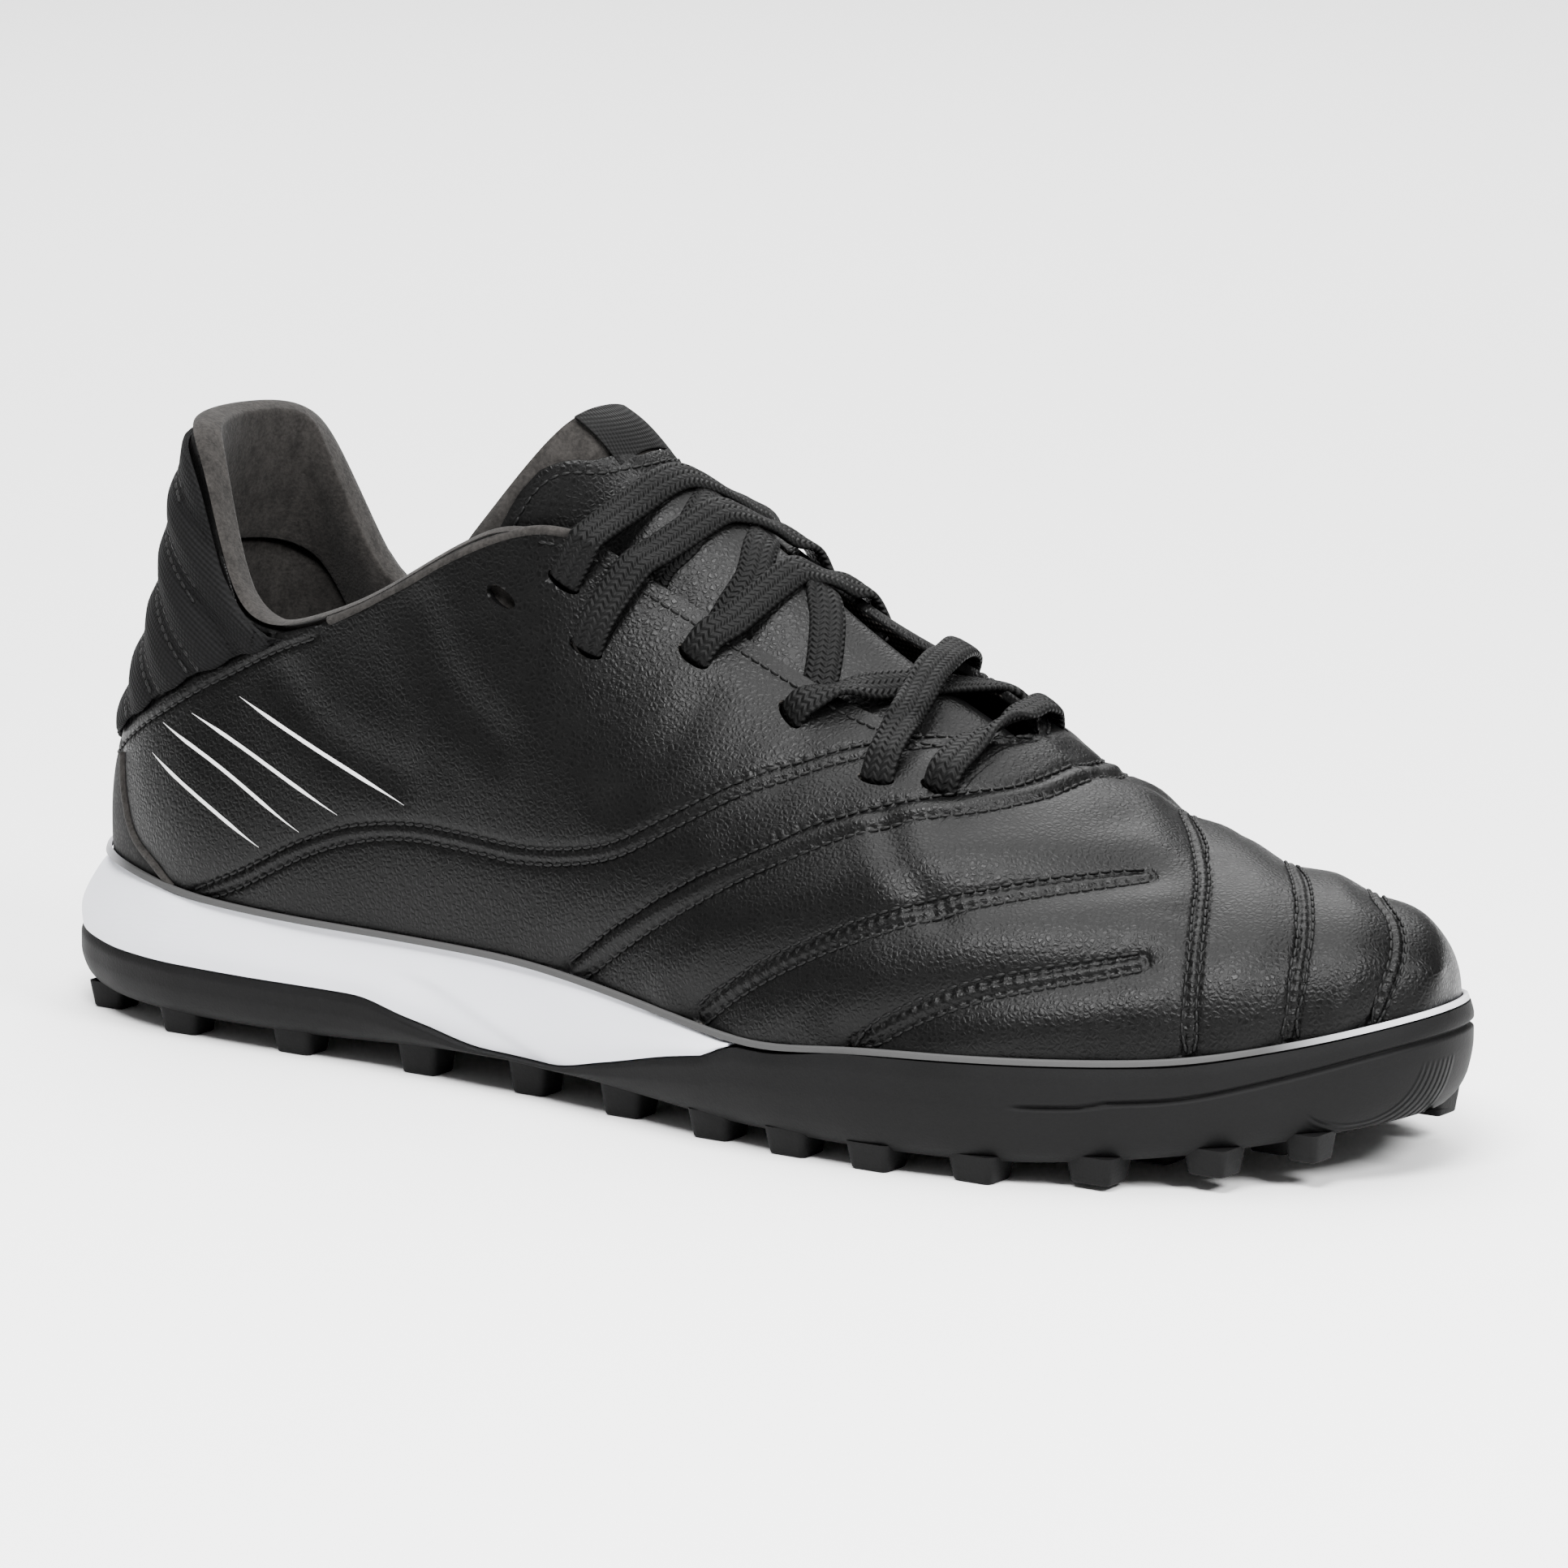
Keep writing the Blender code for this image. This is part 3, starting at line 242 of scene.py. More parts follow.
# %% [markdown]
# The floor is plain matt white, slightly uneven in tone as a real paper sweep is.

# %% Floor finish
paper = Finish("white_sweep")
floor.data.materials.append(paper.paint(
    Base_Color=paper.mix(grey(0.93), grey(0.90), paper.noise(3)), Roughness=0.9))

# %% [markdown]
# Leather is near black with a fine pebbled grain: small cells with soft edges, and a slower noise that
# makes the grain uneven. Two marks on the upper, set further below, say where the needle rows run, and
# the leather is pulled in at every stitch.

# %% Leather
def leather_finish(name, level=0.0015, gloss=0.34, grain=1.0, shine=0.125):
    leather = Finish(name)
    patch = leather.noise(160, 4)
    drift = leather.node("ShaderNodeTexNoise", {}, {"Vector": leather.place, "Scale": 900.0}, "Color")
    warped = leather.node("ShaderNodeVectorMath", {"operation": "MULTIPLY_ADD"},
                          {0: drift, 1: (0.0009, 0.0009, 0.0009), 2: leather.place})
    pebbles = leather.cells(950, "DISTANCE_TO_EDGE", warped).between(0.0, 0.35)
    fine = leather.noise(3200, 2)
    height = pebbles * 0.8 + fine * 0.3
    pinch = leather.mark("needle_row") * (leather.mark("along_seam") / 2.25).wave() * -1
    pulled = leather.bump(pinch, 0.8, 0.0003)
    colour = leather.mix(grey(level * 0.8), grey(level * 1.35, (1.0, 0.99, 0.98)), patch)
    rough = patch * 0.10 + (1 - pebbles) * 0.10 + (gloss - 0.05)
    return leather.paint(Base_Color=colour, Roughness=rough, Specular_IOR_Level=shine,
                         Normal=leather.bump(height, 0.34 * grain, 0.00022, pulled))


LEATHER = leather_finish("grained_leather")
print("leather nodes", len(LEATHER.node_tree.nodes))

# %% [markdown]
# The outsole is matt dark grey rubber with the fine spark-eroded grain of its mould, and curved ribs at
# the toe, which are rings round a point inside the sole. The midsole is
# moulded foam: cool white, smooth, with a faint cross-hatched texture round the heel. The thin band
# along the feather line is satin rubber, grey between its ends and almost white at the heel and at the
# toe, where the light tone is a painted highlight.

# %% Rubber and foam
def toe_ribs(rubber):
    """Rings round a point inside the sole's toe, where they come out at its outer corner."""
    around = rubber.axis("X") * 0.61 + rubber.axis("Y") * 0.79 - 0.076
    upwards = rubber.axis("Z") - 0.025
    ring = (around * around + upwards * upwards).root()
    corner = rubber.axis("X").between(0.133, 0.139) * (1 - rubber.axis("Z").between(0.0195, 0.0225))
    return (ring / 0.0012).wave() * ring.between(0.0128, 0.0138) * (1 - ring.between(0.0205, 0.0215)) * corner


def rubber_finish(name, ribbed):
    rubber = Finish(name)
    tone = rubber.noise(90, 5)
    ribs = rubber.bump(toe_ribs(rubber), 1.0, 0.0007) if ribbed else None
    return rubber.paint(
        Base_Color=rubber.mix(grey(0.0032), grey(0.0055, (1, 1, 1.04)), tone), Roughness=tone * 0.12 + 0.58,
        Specular_IOR_Level=0.09,
        Normal=rubber.bump(rubber.noise(2600, 2) + rubber.cells(1500) * 0.5, 0.30, 0.00015, ribs))


RUBBER = rubber_finish("moulded_rubber", True)
LUG_RUBBER = rubber_finish("lug_rubber", False)

foam = Finish("moulded_foam")
heel_mask = 1 - foam.axis("X").between(-0.128, -0.085)
hatch = ((foam.axis("Z") * 900 + foam.axis("Y") * 500).wave()
         * (foam.axis("Z") * 900 - foam.axis("Y") * 500).wave())
FOAM = foam.paint(
    Base_Color=foam.mix(grey(0.76, (0.97, 0.98, 1.04)), grey(0.70, (0.96, 0.98, 1.06)), foam.noise(45, 5)),
    Roughness=foam.noise(300, 3) * 0.12 + 0.46,
    Normal=foam.bump(hatch * heel_mask + foam.noise(1800, 2) * 0.25, 0.16, 0.0002))

band = Finish("feather_band")
# Lighter, almost white, at the heel and at the toe; at the toe this light tone is a painted highlight.
ends = band.axis("X").between(0.128, 0.149) + (1 - band.axis("X").between(-0.146, -0.120))
BAND = band.paint(
    Base_Color=band.mix(grey(0.045), grey(0.55, (0.98, 0.99, 1.03)), ends),
    Roughness=band.noise(800) * 0.1 + 0.50, Specular_IOR_Level=0.12,
    Normal=band.bump(band.noise(1500, 2), 0.1, 0.0002))

# %% [markdown]
# The collar and the tongue's pad are brushed microsuede: a short nap with darker and lighter patches
# where it lies differently, and a soft sheen at grazing angles. The wall inside is a speckled mesh.

# %% Suede and mesh
def suede_finish(name, dark=0.008, light=0.027):
    suede = Finish(name)
    nap = suede.noise(1500, 4, 0.65)
    tint = (1.0, 0.92, 0.86)
    streak = suede.noise(420, 3, 0.6, suede.stretch((1, 1, 0.45)))
    lie = (nap * 0.7 + streak * 0.5).between(0.35, 0.85)
    return suede.paint(
        Base_Color=suede.mix(grey(dark, tint), grey(light, tint), lie),
        Roughness=0.95, Specular_IOR_Level=0.1, Sheen_Weight=0.06, Sheen_Roughness=0.5,
        Normal=suede.bump(nap + streak * 0.5, 0.55, 0.0004))


SUEDE = suede_finish("brushed_suede")
mesh_weave = Finish("speckled_mesh")
loops = (mesh_weave.axis("X") * 900).wave() * (mesh_weave.axis("Z") * 900).wave()
speckle = (loops + mesh_weave.noise(1400) * 0.8).between(0.55, 1.1)
MESH_LINING = mesh_weave.paint(
    Base_Color=mesh_weave.mix(grey(0.006), grey(0.060, (1, 0.9, 0.82)), speckle),
    Roughness=0.9, Specular_IOR_Level=0.1, Normal=mesh_weave.bump(loops, 0.6, 0.0005))

# %% [markdown]
# The quilted heel is a fine ribbed knit. Its ribs run round the heel, so the pattern is made from the
# height and from the way round, both taken from Object coordinates.

# %% Knit, cloth and thread
knit = Finish("ribbed_knit")
rows = (knit.axis("Z") * 1150 + knit.axis("X") * 700).wave()
stitches = (knit.axis("Y") * 900 - knit.axis("X") * 900).wave()
KNIT = knit.paint(
    Base_Color=knit.mix(grey(0.0012), grey(0.0050, (1, 1, 1.06)), rows * 0.6 + stitches * 0.3),
    Roughness=0.82, Specular_IOR_Level=0.09, Sheen_Weight=0.01, Sheen_Roughness=0.4,
    Normal=knit.bump(rows * 0.7 + stitches * 0.4, 0.55, 0.0003))

cloth = Finish("label_weave")
warp = (cloth.axis("Y") * 1500).wave() + (cloth.axis("Z") * 1500).wave()
LABEL_CLOTH = cloth.paint(
    Base_Color=cloth.mix(grey(0.001), grey(0.004), warp * 0.5),
    Roughness=0.6, Specular_IOR_Level=0.09,
    Normal=cloth.bump(warp, 0.4, 0.0002))

sock = Finish("insole_cloth")
SOCK_CLOTH = sock.paint(
    Base_Color=sock.mix(grey(0.003), grey(0.010), sock.noise(1200, 2)),
    Roughness=0.9, Specular_IOR_Level=0.1,
    Normal=sock.bump((sock.axis("X") * 1000).wave() + (sock.axis("Y") * 1000).wave(), 0.3, 0.0003))

thread = Finish("black_thread")
THREAD = thread.paint(
    Base_Color=thread.mix(grey(0.0015), grey(0.003), thread.noise(900)),
    Roughness=thread.noise(2000) * 0.1 + 0.45, Specular_IOR_Level=0.16,
    Normal=thread.bump(thread.noise(4000, 1), 0.3, 0.0001))

ink = Finish("white_print")
PRINT = ink.paint(Base_Color=ink.mix(grey(0.62), grey(0.70), ink.noise(900)), Roughness=0.5,
                  Normal=ink.bump(ink.noise(2500, 1), 0.1, 0.0001))

# %% [markdown]
# A flat lace is woven in a herringbone: the strands slant to both sides from its middle line. The lace
# skins carry two marks of their own, the millimetres along and the place across, and the pattern is
# made from them, so it follows every bend.

# %% Lace weave
lace = Finish("woven_lace")
along, across = lace.mark("along"), lace.mark("across")
zigzag = (across * 3 + 10.25).sum("PINGPONG", across * 3 + 10.25, 0.5) * 2
strands = (along * 0.80 + zigzag * 0.62).wave()
columns = (across * 6 + 0.25).wave()
weave = strands * (columns * 0.5 + 0.5)
LACE = lace.paint(
    Base_Color=lace.mix(grey(0.0004), grey(0.0040), weave * 0.8 + lace.noise(2500) * 0.2),
    Roughness=0.55, Specular_IOR_Level=0.09,
    Normal=lace.bump(weave, 0.9, 0.00035))
print("finishes", len(bpy.data.materials))

# %% [markdown]
# ## Working on copies
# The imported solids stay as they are. Each visual piece is a copy whose loose triangles are merged,
# paired into quads and subdivided, or it is rolled from a grid at the same sizes. Edges that are
# sharp on the solid get a crease first, so that the subdivision keeps them.

# %% Copies and grids
def only(piece):
    """Selects one object and nothing else."""
    bpy.ops.object.select_all(action="DESELECT")
    piece.select_set(True)
    bpy.context.view_layer.objects.active = piece
    return piece


def in_edit(piece, mode="VERT"):
    only(piece)
    bpy.ops.object.mode_set(mode="EDIT")
    bpy.ops.mesh.select_mode(type=mode)


def out_of_edit():
    bpy.ops.object.mode_set(mode="OBJECT")


def places(piece):
    spots = np.empty(len(piece.data.vertices) * 3, np.float32)
    piece.data.vertices.foreach_get("co", spots)
    return spots.reshape(-1, 3).astype(float)


def put(piece, spots):
    piece.data.vertices.foreach_set("co", np.ascontiguousarray(spots, np.float32).ravel())
    piece.data.update()


def outward(piece):
    """Normals of the vertices."""
    found = np.empty(len(piece.data.vertices) * 3, np.float32)
    piece.data.vertices.foreach_get("normal", found)
    return found.reshape(-1, 3).astype(float)


def middles(piece):
    """Centres and normals of the faces."""
    count = len(piece.data.polygons)
    centre, normal = np.empty(count * 3, np.float32), np.empty(count * 3, np.float32)
    piece.data.polygons.foreach_get("center", centre)
    piece.data.polygons.foreach_get("normal", normal)
    return centre.reshape(-1, 3).astype(float), normal.reshape(-1, 3).astype(float)


def pick_faces(piece, chosen):
    """Opens edit mode with these faces selected."""
    only(piece)
    piece.data.vertices.foreach_set("select", np.zeros(len(piece.data.vertices), bool))
    piece.data.edges.foreach_set("select", np.zeros(len(piece.data.edges), bool))
    piece.data.polygons.foreach_set("select", chosen)
    bpy.context.tool_settings.mesh_select_mode = (False, False, True)
    bpy.ops.object.mode_set(mode="EDIT")


def smooth(piece, angle=40):
    only(piece)
    bpy.ops.object.shade_smooth_by_angle(angle=math.radians(angle))


def dress(piece, *looks):
    piece.data.materials.clear()
    for look in looks:
        piece.data.materials.append(look)


def apply_all(piece):
    only(piece)
    for modifier in list(piece.modifiers):
        bpy.ops.object.modifier_apply(modifier=modifier.name)


def settle(piece, node, slot, *looks):
    """The piece gets its finish, stands for its solid and moves with the shoe."""
    dress(piece, *looks)
    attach(piece, "root")
    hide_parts(node)
    piece.data.calc_loop_triangles()
    print(f"{piece.name}: {len(piece.data.loop_triangles)} triangles")
    return piece


def refined_copy(node, name, levels, sharp=38):
    solid = frame["nodes"][node]
    twin = solid.copy()
    twin.data = solid.data.copy()
    twin.name = twin.data.name = name
    twin.parent = None
    twin.matrix_world.identity()
    bpy.context.scene.collection.objects.link(twin)
    in_edit(twin)
    bpy.ops.mesh.select_all(action="SELECT")
    bpy.ops.mesh.remove_doubles(threshold=0.02 * MM)
    bpy.ops.mesh.tris_convert_to_quads(face_threshold=math.radians(50), shape_threshold=math.radians(70))
    bpy.ops.mesh.normals_make_consistent(inside=False)
    bpy.ops.mesh.select_mode(type="EDGE")
    bpy.ops.mesh.select_all(action="DESELECT")
    bpy.ops.mesh.edges_select_sharp(sharpness=math.radians(sharp))
    bpy.ops.transform.edge_crease(value=0.9)
    bpy.ops.mesh.select_all(action="DESELECT")
    out_of_edit()
    subdivision = twin.modifiers.new("finer", "SUBSURF")
    subdivision.levels = subdivision.render_levels = levels
    apply_all(twin)
    smooth(twin)
    return twin


def rolled(name, cage, angle=40, **marks):
    """A grid primitive laid over a cage of points, closed where its sides meet."""
    columns, rows = cage.shape[0] - 1, cage.shape[1] - 1
    bpy.ops.object.select_all(action="DESELECT")
    bpy.ops.mesh.primitive_grid_add(x_subdivisions=columns, y_subdivisions=rows, size=1)
    piece = bpy.context.object
    piece.name = piece.data.name = name
    flat = places(piece)
    i = np.rint((flat[:, 0] + 0.5) * columns).astype(int)
    j = np.rint((flat[:, 1] + 0.5) * rows).astype(int)
    put(piece, cage[i, j])
    for mark, values in marks.items():
        layer = piece.data.attributes.new(mark, "FLOAT", "POINT")
        layer.data.foreach_set("value", values[i, j].astype(np.float32))
    in_edit(piece)
    bpy.ops.mesh.select_all(action="SELECT")
    bpy.ops.mesh.remove_doubles(threshold=0.004 * MM)
    bpy.ops.mesh.normals_make_consistent(inside=False)
    out_of_edit()
    smooth(piece, angle)
    return piece


def tree_of(piece, chosen=None):
    """For finding the nearest place on a piece, or on some of its faces."""
    kept = range(len(piece.data.polygons)) if chosen is None else np.flatnonzero(chosen)
    faces = [piece.data.polygons[k].vertices[:] for k in kept]
    return BVHTree.FromPolygons([v.co[:] for v in piece.data.vertices], faces)


# %% [markdown]
# Seams and laces are drawn as a few points each, in millimetres, and turned into smooth lines. A line
# is laid on a surface by moving each of its points to the nearest place there.

# %% Lines
def smooth_line(points, step):
    """Points every step millimetres along a smooth line through the given ones."""
    points = np.asarray(points, float)
    ends = np.vstack([2 * points[0] - points[1], points, 2 * points[-1] - points[-2]])
    dense = []
    for k in range(1, len(ends) - 2):
        a, b, c, d = ends[k - 1:k + 3]
        for t in np.linspace(0, 1, 24, endpoint=False):
            dense.append(0.5 * (2 * b + (c - a) * t + (2 * a - 5 * b + 4 * c - d) * t * t
                                + (3 * b - a - 3 * c + d) * t ** 3))
    dense = np.array(dense + [points[-1]])
    run = np.concatenate([[0], np.cumsum(np.linalg.norm(np.diff(dense, axis=0), axis=1))])
    wanted = np.linspace(0, run[-1], max(2, int(round(run[-1] / step)) + 1))
    return np.array([np.interp(wanted, run, dense[:, axis]) for axis in range(3)]).T


def averaged(rows, reach):
    """Each row averaged with its neighbours."""
    padded = np.vstack([rows[:1]] * reach + [rows] + [rows[-1:]] * reach)
    return sum(padded[k:k + len(rows)] for k in range(2 * reach + 1)) / (2 * reach + 1)


def lengths_one(rows):
    return rows / np.maximum(np.linalg.norm(rows, axis=1, keepdims=True), 1e-9)


def lay_on(tree, line):
    """The line's nearest places on a surface, in metres, and the directions away from it."""
    found = [tree.find_nearest(Vector(point) * MM) for point in line]
    spots = np.array([place[:] for place, _, _, _ in found])
    normals = lengths_one(averaged(np.array([normal[:] for _, normal, _, _ in found]), 2))
    return averaged(spots, 1), normals


def ahead_of(spots):
    return lengths_one(np.gradient(spots, axis=0))


# %% [markdown]
# ## The sole's outline
# These tables are the sole's own sizes: its plan as middle line and half width, the feather line, the
# line where foam meets rubber, and the shape of both sides. The finer sole pieces are made from them.

# %% Sole tables
LENGTH = 298 * MM
BALL_WIDTH = 105 * MM
HEEL_STACK = 27 * MM
FORE_STACK = 22 * MM
PARTING_HEIGHT = 14 * MM
TOE_SPRING = 8.5 * MM
TOE_SPRING_FROM = 0.76
HEEL_SPRING = 1.2 * MM
HEEL_SPRING_TO = 0.07
ARCH_RISE = 2.5 * MM
ARCH_AT = 0.42
ARCH_REACH = 0.11
GAP = 0.3 * MM
LUG_HEIGHT = 4.0 * MM
LUG_SINK = 1.2 * MM
LUG_TAPER = 0.8
LUG_INSET = 7.2 * MM
GROOVE_DEPTH = 0.9 * MM


class Table:
    """Rows of shares with named columns, read between its rows along the first column."""

    def __init__(self, names, rows):
        self.names = names.split()
        self.rows = np.array(rows, float)

    def __call__(self, name, place):
        xs = self.rows[:, 0]
        ys = self.rows[:, self.names.index(name)]
        steps = np.diff(xs)
        slopes = np.diff(ys) / steps
        tangents = np.zeros(len(xs))
        for k in range(1, len(xs) - 1):
            before, after = slopes[k - 1], slopes[k]
            if before * after > 0:
                near, far = 2 * steps[k] + steps[k - 1], steps[k] + 2 * steps[k - 1]
                tangents[k] = (near + far) / (near / before + far / after)
        tangents[0] = slopes[0]
        tangents[-1] = slopes[-1]
        place = min(max(place, xs[0]), xs[-1])
        k = min(int(np.searchsorted(xs, place, "right")) - 1, len(xs) - 2)
        t = (place - xs[k]) / steps[k]
        rise = ys[k] * (1 + 2 * t) * (1 - t) ** 2 + ys[k + 1] * t * t * (3 - 2 * t)
        return rise + steps[k] * t * (1 - t) * (tangents[k] * (1 - t) - tangents[k + 1] * t)


# The sole seen from above: middle line and half width, as shares of the ball width
PLAN = Table(
    "turn middle half",
    [
        (0.00, -0.005, 0.000),
        (0.09, -0.002, 0.172),
        (0.15, 0.000, 0.262),
        (0.20, -0.005, 0.314),
        (0.25, -0.007, 0.345),
        (0.30, -0.010, 0.352),
        (0.37, -0.022, 0.336),
        (0.44, -0.045, 0.331),
        (0.50, -0.052, 0.367),
        (0.56, -0.036, 0.436),
        (0.60, -0.016, 0.476),
        (0.64, 0.000, 0.495),
        (0.67, 0.012, 0.492),
        (0.71, 0.029, 0.471),
        (0.75, 0.043, 0.428),
        (0.80, 0.060, 0.364),
        (0.86, 0.074, 0.255),
        (0.92, 0.070, 0.148),
        (1.00, 0.057, 0.000),
    ],
)

# The top of the sole (feather line), as shares of the heel or forefoot stack
FEATHER = Table(
    "at height",
    [
        (0.00, 1.13 * HEEL_STACK),
        (0.09, 1.09 * HEEL_STACK),
        (0.17, 1.00 * HEEL_STACK),
        (0.30, 0.95 * HEEL_STACK),
        (0.40, 0.94 * HEEL_STACK),
        (0.48, 0.88 * HEEL_STACK),
        (0.56, 0.96 * FORE_STACK),
        (0.63, 0.86 * FORE_STACK),
        (0.70, 0.97 * FORE_STACK),
        (0.78, 1.00 * FORE_STACK),
        (0.88, 1.04 * FORE_STACK),
        (0.94, 1.16 * FORE_STACK),
        (1.00, 1.36 * FORE_STACK),
    ],
)

# The line on the side where the white midsole sits on the dark outsole
PARTING = Table(
    "at height",
    [
        (0.00, 1.10 * PARTING_HEIGHT),
        (0.10, 1.03 * PARTING_HEIGHT),
        (0.29, 1.00 * PARTING_HEIGHT),
        (0.34, 0.78 * PARTING_HEIGHT),
        (0.40, 0.56 * PARTING_HEIGHT),
        (0.45, 0.54 * PARTING_HEIGHT),
        (0.50, 0.74 * PARTING_HEIGHT),
        (0.56, 1.04 * PARTING_HEIGHT),
        (0.63, 1.30 * PARTING_HEIGHT),
    ],
)
MIDSOLE_END = 0.62
MIDSOLE_BLEND = 0.035
MIDSOLE_CUT = 0.012

# The outsole's side from its bottom edge to its top edge
OUTSOLE_SIDE = Table(
    "rise inset",
    [
        (0.00, 4.6 * MM),
        (0.10, 2.6 * MM),
        (0.30, 0.9 * MM),
        (0.60, 0.1 * MM),
        (0.85, 0.1 * MM),
        (1.00, 0.7 * MM),
    ],
)
GROOVE_RISE = 0.60

# The midsole's side, which leans in towards the upper at the heel
MIDSOLE_SIDE = Table(
    "rise inset",
    [
        (0.00, 0.5 * MM),
        (0.25, 0.0 * MM),
        (0.60, 0.6 * MM),
        (0.90, 1.2 * MM),
        (1.00, 1.8 * MM),
    ],
)
MIDSOLE_HEEL_LEAN = 6.0 * MM
MIDSOLE_LEAST = 0.4 * MM

# Rows of lugs under the sole: place along the length, lugs across, their length and width
LUGS = Table(
    "at across long wide",
    [
        (0.055, 3, 8.5 * MM, 7.5 * MM),
        (0.140, 4, 9.5 * MM, 8.0 * MM),
        (0.235, 4, 9.5 * MM, 8.0 * MM),
        (0.335, 3, 9.5 * MM, 8.0 * MM),
        (0.425, 3, 9.0 * MM, 8.0 * MM),
        (0.507, 3, 9.5 * MM, 8.0 * MM),
        (0.585, 4, 9.5 * MM, 8.5 * MM),
        (0.647, 5, 9.5 * MM, 8.5 * MM),
        (0.708, 5, 9.5 * MM, 9.0 * MM),
        (0.775, 5, 10.0 * MM, 9.0 * MM),
        (0.842, 5, 10.0 * MM, 8.5 * MM),
        (0.902, 4, 9.0 * MM, 8.5 * MM),
        (0.945, 2, 7.0 * MM, 8.0 * MM),
    ],
)


def plan_turn(share):
    """Share of a half turn for a share of the length: small steps at heel and toe."""
    return math.acos(1 - 2 * min(max(share, 0.0), 1.0)) / math.pi


def plan_share(turn):
    return (1 - math.cos(math.pi * turn)) / 2


def outline_point(turn, side):
    middle = PLAN("middle", turn) * BALL_WIDTH
    half = PLAN("half", turn) * BALL_WIDTH
    return np.array([plan_share(turn) * LENGTH, middle + side * half])


def edge_shift():
    """Moves the shoe so that the sole's widest places lie evenly about the X axis."""
    turns = np.linspace(0, 1, 721)
    outer = min(outline_point(turn, -1)[1] for turn in turns)
    inner = max(outline_point(turn, 1)[1] for turn in turns)
    return np.array([-LENGTH / 2, -(outer + inner) / 2, 0.0])


SHIFT = edge_shift()


def ring_order(steps):
    """Heel tip, outer side, toe tip, inner side: (step, side) round a closed ring."""
    outer = [(k, -1) for k in range(steps + 1)]
    inner = [(k, 1) for k in range(steps - 1, 0, -1)]
    return outer + inner


def plan_ring(inset, turns):
    """The sole's outline moved inwards by an inset, which may be a function of the place."""
    tiny = 0.004
    ring = []
    for k, side in ring_order(len(turns) - 1):
        turn = turns[k]
        point = outline_point(turn, side)
        ahead = outline_point(min(turn + tiny, 1), side)
        behind = outline_point(max(turn - tiny, 0), side)
        if turn < tiny:
            behind = outline_point(tiny, -side)
        if turn > 1 - tiny:
            ahead = outline_point(1 - tiny, -side)
        tangent = ahead - behind
        normal = np.array([-tangent[1], tangent[0]]) * side
        normal /= np.linalg.norm(normal)
        depth = inset(point[0] / LENGTH) if callable(inset) else inset
        ring.append(point - normal * depth)
    return np.array(ring)


def smooth_step(low, high, value):
    t = min(max((value - low) / (high - low), 0.0), 1.0)
    return t * t * (3 - 2 * t)


def floor_line(share):
    """Height of the lugs' tips: flat under heel and ball, rising at the toe and the heel's edge."""
    toe = TOE_SPRING * max((share - TOE_SPRING_FROM) / (1 - TOE_SPRING_FROM), 0.0) ** 2
    heel = HEEL_SPRING * max(1 - share / HEEL_SPRING_TO, 0.0) ** 2
    return toe + heel


def plate_line(share):
    """Height of the outsole's underside between the lugs."""
    arch = ARCH_RISE * math.exp(-(((share - ARCH_AT) / ARCH_REACH) ** 2))
    return LUG_HEIGHT + floor_line(share) + arch


def outsole_top(share):
    if share >= MIDSOLE_END:
        return FEATHER("height", share)
    blend = smooth_step(MIDSOLE_END - MIDSOLE_BLEND, MIDSOLE_END, share)
    return PARTING("height", share) * (1 - blend) + FEATHER("height", share) * blend


def open_ring(inset, turns):
    """The outline from the heel tip to a cut across the foot, outer side then inner side."""
    whole = plan_ring(inset, np.append(turns, 1.0))
    steps = len(turns)
    return np.array([whole[k] for k in range(2 * steps) if k != steps])


print("sole edge shift", SHIFT)

# %% [markdown]
# The outsole is moulded in one piece. Its grid starts at the middle line underneath, runs out to the
# edge, up the side and back over the top. A thin groove circles the toe half, with a small step where it
# starts, and climbs towards the toe.

# %% Outsole
AROUND = 150
HALF_AROUND = np.linspace(0, 1, AROUND + 1)
GROOVE_WIDTH = 0.45 * MM


def closed_ring(ring):
    return np.vstack([ring, ring[:1]])


def ring_shares(ring):
    return np.clip(ring[:, 0] / LENGTH, 0, 1)


def lifted(ring, height):
    return np.column_stack([ring, [height(share) for share in ring_shares(ring)]])


def middle_line(height):
    """The plan's middle line, gone round like a ring: it closes the sole above and below."""
    spots = []
    for k, _ in ring_order(AROUND):
        point = outline_point(HALF_AROUND[k], 0)
        spots.append([point[0], point[1], height(point[0] / LENGTH)])
    return np.array(spots)


def side_height(rise):
    def height(share):
        low = plate_line(share)
        return low + (outsole_top(share) - low) * rise
    return height


def groove_line(share):
    """The groove's rise on the outsole's side, with a short step at its rear end."""
    return GROOVE_RISE + 0.045 * smooth_step(0.845, 0.855, share) + 0.13 * smooth_step(0.88, 1.0, share)


plain = [0.0, 0.03, 0.07, 0.12, 0.18, 0.25, 0.32, 0.39, 0.46, 0.52]
near_groove = list(np.linspace(0.555, 0.83, 34))
upper_side = [0.87, 0.92, 0.96, 0.985, 1.0]
rings = [middle_line(side_height(0.0))]
rings.append(lifted(plan_ring(12 * MM, HALF_AROUND), side_height(0.0)))
for rise in plain + near_groove + upper_side:
    ring = plan_ring(lambda share: OUTSOLE_SIDE("inset", rise), HALF_AROUND)
    rings.append(lifted(ring, side_height(rise)))
rings.append(lifted(plan_ring(2.2 * MM, HALF_AROUND), side_height(1.0)))
rings.append(middle_line(side_height(1.0)))
rises = np.array([0, 0] + plain + near_groove + upper_side + [1.0, 1.0])
cage = np.array([closed_ring(ring) for ring in rings]).transpose(1, 0, 2)

